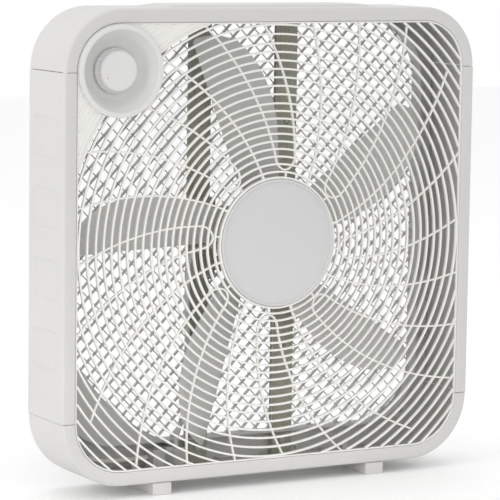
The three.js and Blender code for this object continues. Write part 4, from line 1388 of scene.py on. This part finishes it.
@dataclass
class Impeller:
    """The five-blade impeller.

    Attributes:
        measures: The shared sizes.
        blades: Number of blades.
        root: Radius where the blades start.
        tip: Radius of the blade tips.
        rear_angle: Angle of a blade's trailing edge.
        thickness: Thickness in the middle of a blade.
        camber: Height of a blade's crown.
        front_y: Y of a blade's leading edge.
        rear_y: Y of its trailing edge.
        lead_edge: Radius and angle of the stations along a blade's leading edge.
        hub: Radius of the hub.
        hub_front: Y of the hub's front.
    """

    measures: Housing
    blades: int = 5
    root: float = 30 * MM
    tip: float = 240 * MM
    rear_angle: float = -20.5
    thickness: float = 2.4 * MM
    camber: float = 6.0 * MM
    front_y: float = -17 * MM
    rear_y: float = 3 * MM
    lead_edge: tuple[tuple[float, float], ...] = (
        (0.03, 34.0),
        (0.06, 17.0),
        (0.10, 9.5),
        (0.15, 3.9),
        (0.20, -4.0),
        (0.228, -10.5),
        (0.24, -16.5),
    )
    hub: float = 34 * MM
    hub_front: float = -19 * MM

    def lead_angle(self, radius: float) -> float:
        """Angle of a blade's leading edge at a radius, smoothed between its stations."""
        points = self.lead_edge
        index = next((i for i in range(1, len(points)) if radius <= points[i][0]), len(points) - 1)
        (r1, a1), (r2, a2) = points[index - 1], points[index]
        (r0, a0) = points[max(index - 2, 0)]
        (r3, a3) = points[min(index + 1, len(points) - 1)]
        t = min(max((radius - r1) / (r2 - r1), 0.0), 1.0)
        m1 = (a2 - a0) / (r2 - r0) * (r2 - r1)
        m2 = (a3 - a1) / (r3 - r1) * (r2 - r1)
        return (
            (2 * t**3 - 3 * t**2 + 1) * a1
            + (t**3 - 2 * t**2 + t) * m1
            + (-2 * t**3 + 3 * t**2) * a2
            + (t**3 - t**2) * m2
        )

    def add_blade(self, bm: bmesh.types.BMesh, index: int) -> None:
        """Adds one twisted, cambered blade with rounded edges."""
        columns, rows = 20, 36
        made = bmesh.ops.create_grid(bm, x_segments=columns, y_segments=rows, size=0.5)["verts"]
        faces = {face for vert in made for face in vert.link_faces}
        shares = {vert: (vert.co.x + 0.5, vert.co.y + 0.5) for vert in made}
        for vert, (chord, span) in shares.items():
            vert.co = self._blade_point(index, chord, span, -0.5)
        lookup = {tuple(round(value, 6) for value in vert.co): share for vert, share in shares.items()}
        for vert in extrude(bm, faces):
            chord, span = lookup[tuple(round(value, 6) for value in vert.co)]
            vert.co = self._blade_point(index, chord, span, 0.5)

    def _blade_point(self, index: int, chord: float, span: float, side: float) -> Vector:
        """A point on a blade's face.

        Args:
            index: Number of the blade.
            chord: Share of the way from the trailing to the leading edge.
            span: Share of the way from the root to the tip.
            side: -0.5 for the front face, 0.5 for the rear face.

        Returns:
            The point.
        """
        round_tip = 3.5 * MM * (abs(2 * chord - 1) ** 4)
        radius = self.root + (self.tip - self.root - round_tip * span) * span
        angle = self.rear_angle + (self.lead_angle(radius) - self.rear_angle) * chord
        thin = self.thickness * min(1.0, 0.35 + 5 * min(chord, 1 - chord, 1 - span))
        crown = self.camber * chord * (1 - chord)
        y = self.rear_y + (self.front_y - self.rear_y) * chord - crown + side * thin
        turn = angle + index * 360 / self.blades
        return Vector(polar(turn, radius, y, self.measures.axis_z))

    def build(self) -> None:
        """Builds the hub and the blades as one moulding."""
        hub_front, hub = self.hub_front, self.hub
        bm = bmesh.new()
        profile = [
            (4.3 * MM, hub_front + 2 * MM),
            (12 * MM, hub_front + 1 * MM),
            (12.6 * MM, hub_front),
            (hub - 5 * MM, hub_front),
            (hub - 1.5 * MM, hub_front + 1.2 * MM),
            (hub, hub_front + 4 * MM),
            (hub, 2.5 * MM),
            (hub - 2.5 * MM, 2.5 * MM),
            (hub - 3 * MM, hub_front + 5 * MM),
            (12 * MM, hub_front + 3.5 * MM),
            (11 * MM, 2 * MM),
            (4.3 * MM, 2 * MM),
            (4.3 * MM, hub_front + 2 * MM),
        ]
        turn_profile(bm, profile, 0.0, self.measures.axis_z, 96)
        for index in range(self.blades):
            self.add_blade(bm, index)
        finish_piece(bm, "impeller_shown", Finishes.BLADE, Body.IMPELLER, ["impeller"])


# ---------------------------------------------------------------- struts and inner parts


@dataclass
class Struts:
    """The two rolled steel struts that hold the motor.

    Attributes:
        measures: The shared sizes.
        sheet: Thickness of the sheet.
        slit: Width of the groove beside each edge.
        slit_depth: Depth of that groove.
        rib: Depth of the shallow ribs along the face.
        face_setback: How far the long runs lie behind the step at the motor.
        step_reach: Half height of that step.
        ribs: Number of ribs across the face.
        hole: Radius of the pierced holes.
        hole_offset: Distance of a pierced hole from the axis.
    """

    measures: Housing
    sheet: float = 1.2 * MM
    slit: float = 2.2 * MM
    slit_depth: float = 5.0 * MM
    rib: float = 0.5 * MM
    face_setback: float = 13.7 * MM
    step_reach: float = 46 * MM
    ribs: int = 5
    hole: float = 2.6 * MM
    hole_offset: float = 128 * MM

    def section(self, half: float, front: float, rear: float) -> Profile:
        """The rolled section as pairs of X from the middle and Y, closed."""
        sheet, step = self.sheet, half - self.sheet
        slit_rear = front + self.slit_depth
        side = [
            (step - self.slit, front + 0.3 * MM),
            (step - self.slit, slit_rear),
            (step, slit_rear),
            (step, front + 0.4 * MM),
            (half - 0.4 * MM, front),
            (half, front + 0.5 * MM),
            (half, rear),
            (half - sheet, rear),
            (half - sheet, slit_rear + sheet),
        ]
        width = 2 * (step - self.slit) / self.ribs
        face = []
        for index in range(self.ribs):
            x = -step + self.slit + index * width
            face += [(x + 0.12 * width, front), (x + 0.5 * width, front + self.rib)]
            face.append((x + 0.88 * width, front))
        return face + side + [(-x, y) for x, y in reversed(side)]

    def build(self) -> None:
        """Builds both struts."""
        for name in ("left_strut", "right_strut"):
            low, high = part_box(name)
            x, _ = find_middle(name)
            half, face = (high.x - low.x) / 2, low.y + self.face_setback
            middle = self.measures.axis_z
            bm = bmesh.new()
            self._add_length(bm, self.section(half, face, high.y), x, (low.z, high.z))
            step = self.section(half - 0.1 * MM, low.y, high.y - 0.2 * MM)
            self._add_length(bm, step, x, (middle - self.step_reach, middle + self.step_reach))
            piece = finish_piece(bm, name + "_shown", Finishes.STRUT, Body.HOUSING, [name])
            # Painted light: the outer side walls take the paler finish, standing for the side light on them.
            piece.data.materials.append(Finishes.PAINTED_LIGHT_EDGE.material)
            for polygon in piece.data.polygons:
                painted_light_wall = abs(polygon.center.x - x) > half - 0.6 * MM
                if painted_light_wall and abs(polygon.normal.x) > 0.7:
                    polygon.material_index = 1
            self._build_painted_hole_shades(name, x, face)

    def _add_length(
        self, bm: bmesh.types.BMesh, points: Profile, x: float, span: tuple[float, float]
    ) -> None:
        """Adds a length of a section between two heights."""
        verts = add_loop(bm, [Vector((x + dx, y, span[0])) for dx, y in points])
        cap = bmesh.ops.contextual_create(bm, geom=verts)["faces"]
        for vert in extrude(bm, cap):
            vert.co.z = span[1]

    def _build_painted_hole_shades(self, name: str, x: float, front: float) -> None:
        """Builds a black disc at each pierced hole above and below the motor: painted shade for the dark
        inside seen through the hole.
        """
        for label, offset in (("low", -self.hole_offset), ("high", self.hole_offset)):
            bm = bmesh.new()
            profile = [
                (0.0, 1.2 * MM),
                (self.hole - 0.5 * MM, 1.2 * MM),
                (self.hole - 0.4 * MM, 0.1 * MM),
                (self.hole, -0.15 * MM),
                (self.hole + 0.5 * MM, 0.1 * MM),
                (self.hole + 0.5 * MM, 1.4 * MM),
                (0.0, 1.4 * MM),
            ]
            # Painted shade: a black disc stands for the dark inside seen through each hole.
            turn_profile(bm, profile, x, self.measures.axis_z + offset, 24, shift=front)
            finish_piece(bm, f"{name}_hole_{label}", Finishes.BLACK_AND_HOLE_SHADE, Body.HOUSING)


@dataclass
class InnerParts:
    """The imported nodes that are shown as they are, each with its own finish.

    Attributes:
        finishes: Name and finish of each single node.
        screw_count: Stem and number of each family of fasteners.
    """

    finishes: tuple[tuple[str, Finishes], ...] = (
        ("motor_front_bell", Finishes.STEEL),
        ("motor_rear_bell", Finishes.STEEL),
        ("stator_core", Finishes.STEEL),
        ("rotor_core", Finishes.STEEL),
        ("motor_shaft", Finishes.STEEL),
        ("motor_mount_plate", Finishes.STRUT),
        ("front_winding", Finishes.COPPER),
        ("rear_winding", Finishes.COPPER),
        ("front_bearing", Finishes.BRONZE),
        ("rear_bearing", Finishes.BRONZE),
        ("impeller_nut", Finishes.ZINC),
        ("switch_spindle", Finishes.ZINC),
        ("capacitor_clip", Finishes.ZINC),
        ("speed_switch", Finishes.BLACK_AND_HOLE_SHADE),
        ("capacitor", Finishes.SHADE_DARKENED_WHITE),
        ("cord_inlet", Finishes.SHADE_DARKENED_WHITE),
        ("switch_lead", Finishes.SLEEVE),
        ("motor_lead", Finishes.SLEEVE),
    )
    screw_count: tuple[tuple[str, int], ...] = (
        ("strut_screw", 4),
        ("rear_screw", 8),
        ("mount_bolt", 4),
        ("foot_screw", 4),
    )

    def dress(self, nodes: dict[str, bpy.types.Object]) -> None:
        """Gives each shown node its material.

        Args:
            nodes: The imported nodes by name.
        """
        pairs = list(self.finishes)
        for stem, count in self.screw_count:
            pairs += [(f"{stem}_{index}", Finishes.ZINC) for index in range(1, count + 1)]
        for name, finish in pairs:
            mesh = nodes[name].data
            mesh.materials.clear()
            mesh.materials.append(finish.material)
            mesh.shade_smooth()
            mesh.set_sharp_from_angle(angle=math.radians(30))
            LOG.info("%s dressed", name)


# ---------------------------------------------------------------- studio


@dataclass
class Studio:
    """The pale floor, the soft lights and the camera.

    Attributes:
        camera_place: Where the camera stands.
        azimuth: Direction in which it looks, in degrees round Z from +Y.
        elevation: How far it looks down, in degrees.
        roll: Turn about its own axis, in degrees.
        lens: Focal length, in millimetres.
        floor_half: Half of the floor's side.
    """

    camera_place: Point = (-1.5606, -2.7602, 0.6407)
    azimuth: float = -29.347
    elevation: float = 6.835
    roll: float = 0.818
    lens: float = 204.42
    floor_half: float = 6.0

    def build(self) -> None:
        """Builds the whole studio."""
        self._build_floor()
        self._build_world()
        self._add_light("side", (-3.4, -0.6, 1.4), 2.0, 27.0)
        self._add_light("top", (-0.2, -0.1, 3.2), 2.2, 10.0)
        self._add_light("low", (-0.7, -1.5, 0.35), 0.5, 0.2, (-0.1, -0.1, -0.03), 26.0)
        self._build_camera()

    def _build_floor(self) -> None:
        """Builds the floor."""
        bm = bmesh.new()
        bmesh.ops.create_grid(bm, x_segments=8, y_segments=8, size=self.floor_half)
        mesh = bpy.data.meshes.new("floor")
        bm.to_mesh(mesh)
        bm.free()
        mesh.materials.append(Finishes.FLOOR.material)
        floor = bpy.data.objects.new("floor", mesh)
        bpy.context.scene.collection.objects.link(floor)

    def _build_world(self) -> None:
        """Builds the even, bright surround."""
        world = bpy.data.worlds.new("studio")
        world.use_nodes = True
        background = next(node for node in world.node_tree.nodes if node.bl_idname == "ShaderNodeBackground")
        background.inputs["Color"].default_value = (1.0, 1.0, 1.0, 1)
        background.inputs["Strength"].default_value = 1.0
        bpy.context.scene.world = world
        bpy.context.scene.view_settings.view_transform = "Standard"

    def _add_light(
        self,
        name: str,
        place: Point,
        size: float,
        power: float,
        target: Point = (0.0, 0.0, 0.27),
        spread: float = 180.0,
    ) -> None:
        """Adds one square area light.

        Args:
            name: Name of the light.
            place: Where it stands.
            size: Length of its side.
            power: Its power, in watts.
            target: The point that it is aimed at.
            spread: Width of its beam, in degrees.
        """
        data = bpy.data.lights.new(name, "AREA")
        data.spread = math.radians(spread)
        data.size = size
        data.energy = power
        light = bpy.data.objects.new(name, data)
        light.location = place
        aim = Vector(target) - Vector(place)
        light.rotation_euler = aim.to_track_quat("-Z", "Y").to_euler()
        bpy.context.scene.collection.objects.link(light)

    def _build_camera(self) -> None:
        """Builds the camera from its azimuth, elevation and roll."""
        a, e, r = (math.radians(value) for value in (self.azimuth, self.elevation, self.roll))
        ahead = Vector((-math.sin(a) * math.cos(e), math.cos(a) * math.cos(e), -math.sin(e)))
        right = Vector((math.cos(a), math.sin(a), 0.0))
        up = right.cross(ahead)
        side = right * math.cos(r) + up * math.sin(r)
        top = up * math.cos(r) - right * math.sin(r)
        data = bpy.data.cameras.new("camera")
        data.lens = self.lens
        data.sensor_width = 36.0
        data.clip_end = 100.0
        camera = bpy.data.objects.new("camera", data)
        turn = Matrix((side, top, -ahead)).transposed().to_4x4()
        camera.matrix_world = Matrix.Translation(Vector(self.camera_place)) @ turn
        bpy.context.scene.collection.objects.link(camera)
        bpy.context.scene.camera = camera


# ---------------------------------------------------------------- assembly


def main() -> None:
    """Builds every sub-assembly in order, then the studio."""
    logging.basicConfig(level=logging.INFO, format="%(name)s: %(message)s")
    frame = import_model()
    measures = Housing.from_frame()
    HousingShells(measures).build()
    FrontGrille(measures).build()
    RearGrille(measures).build()
    SpeedControl(measures).build()
    Impeller(measures).build()
    Struts(measures).build()
    InnerParts().dress(frame["nodes"])
    Studio().build()


if __name__ == "__main__":
    main()
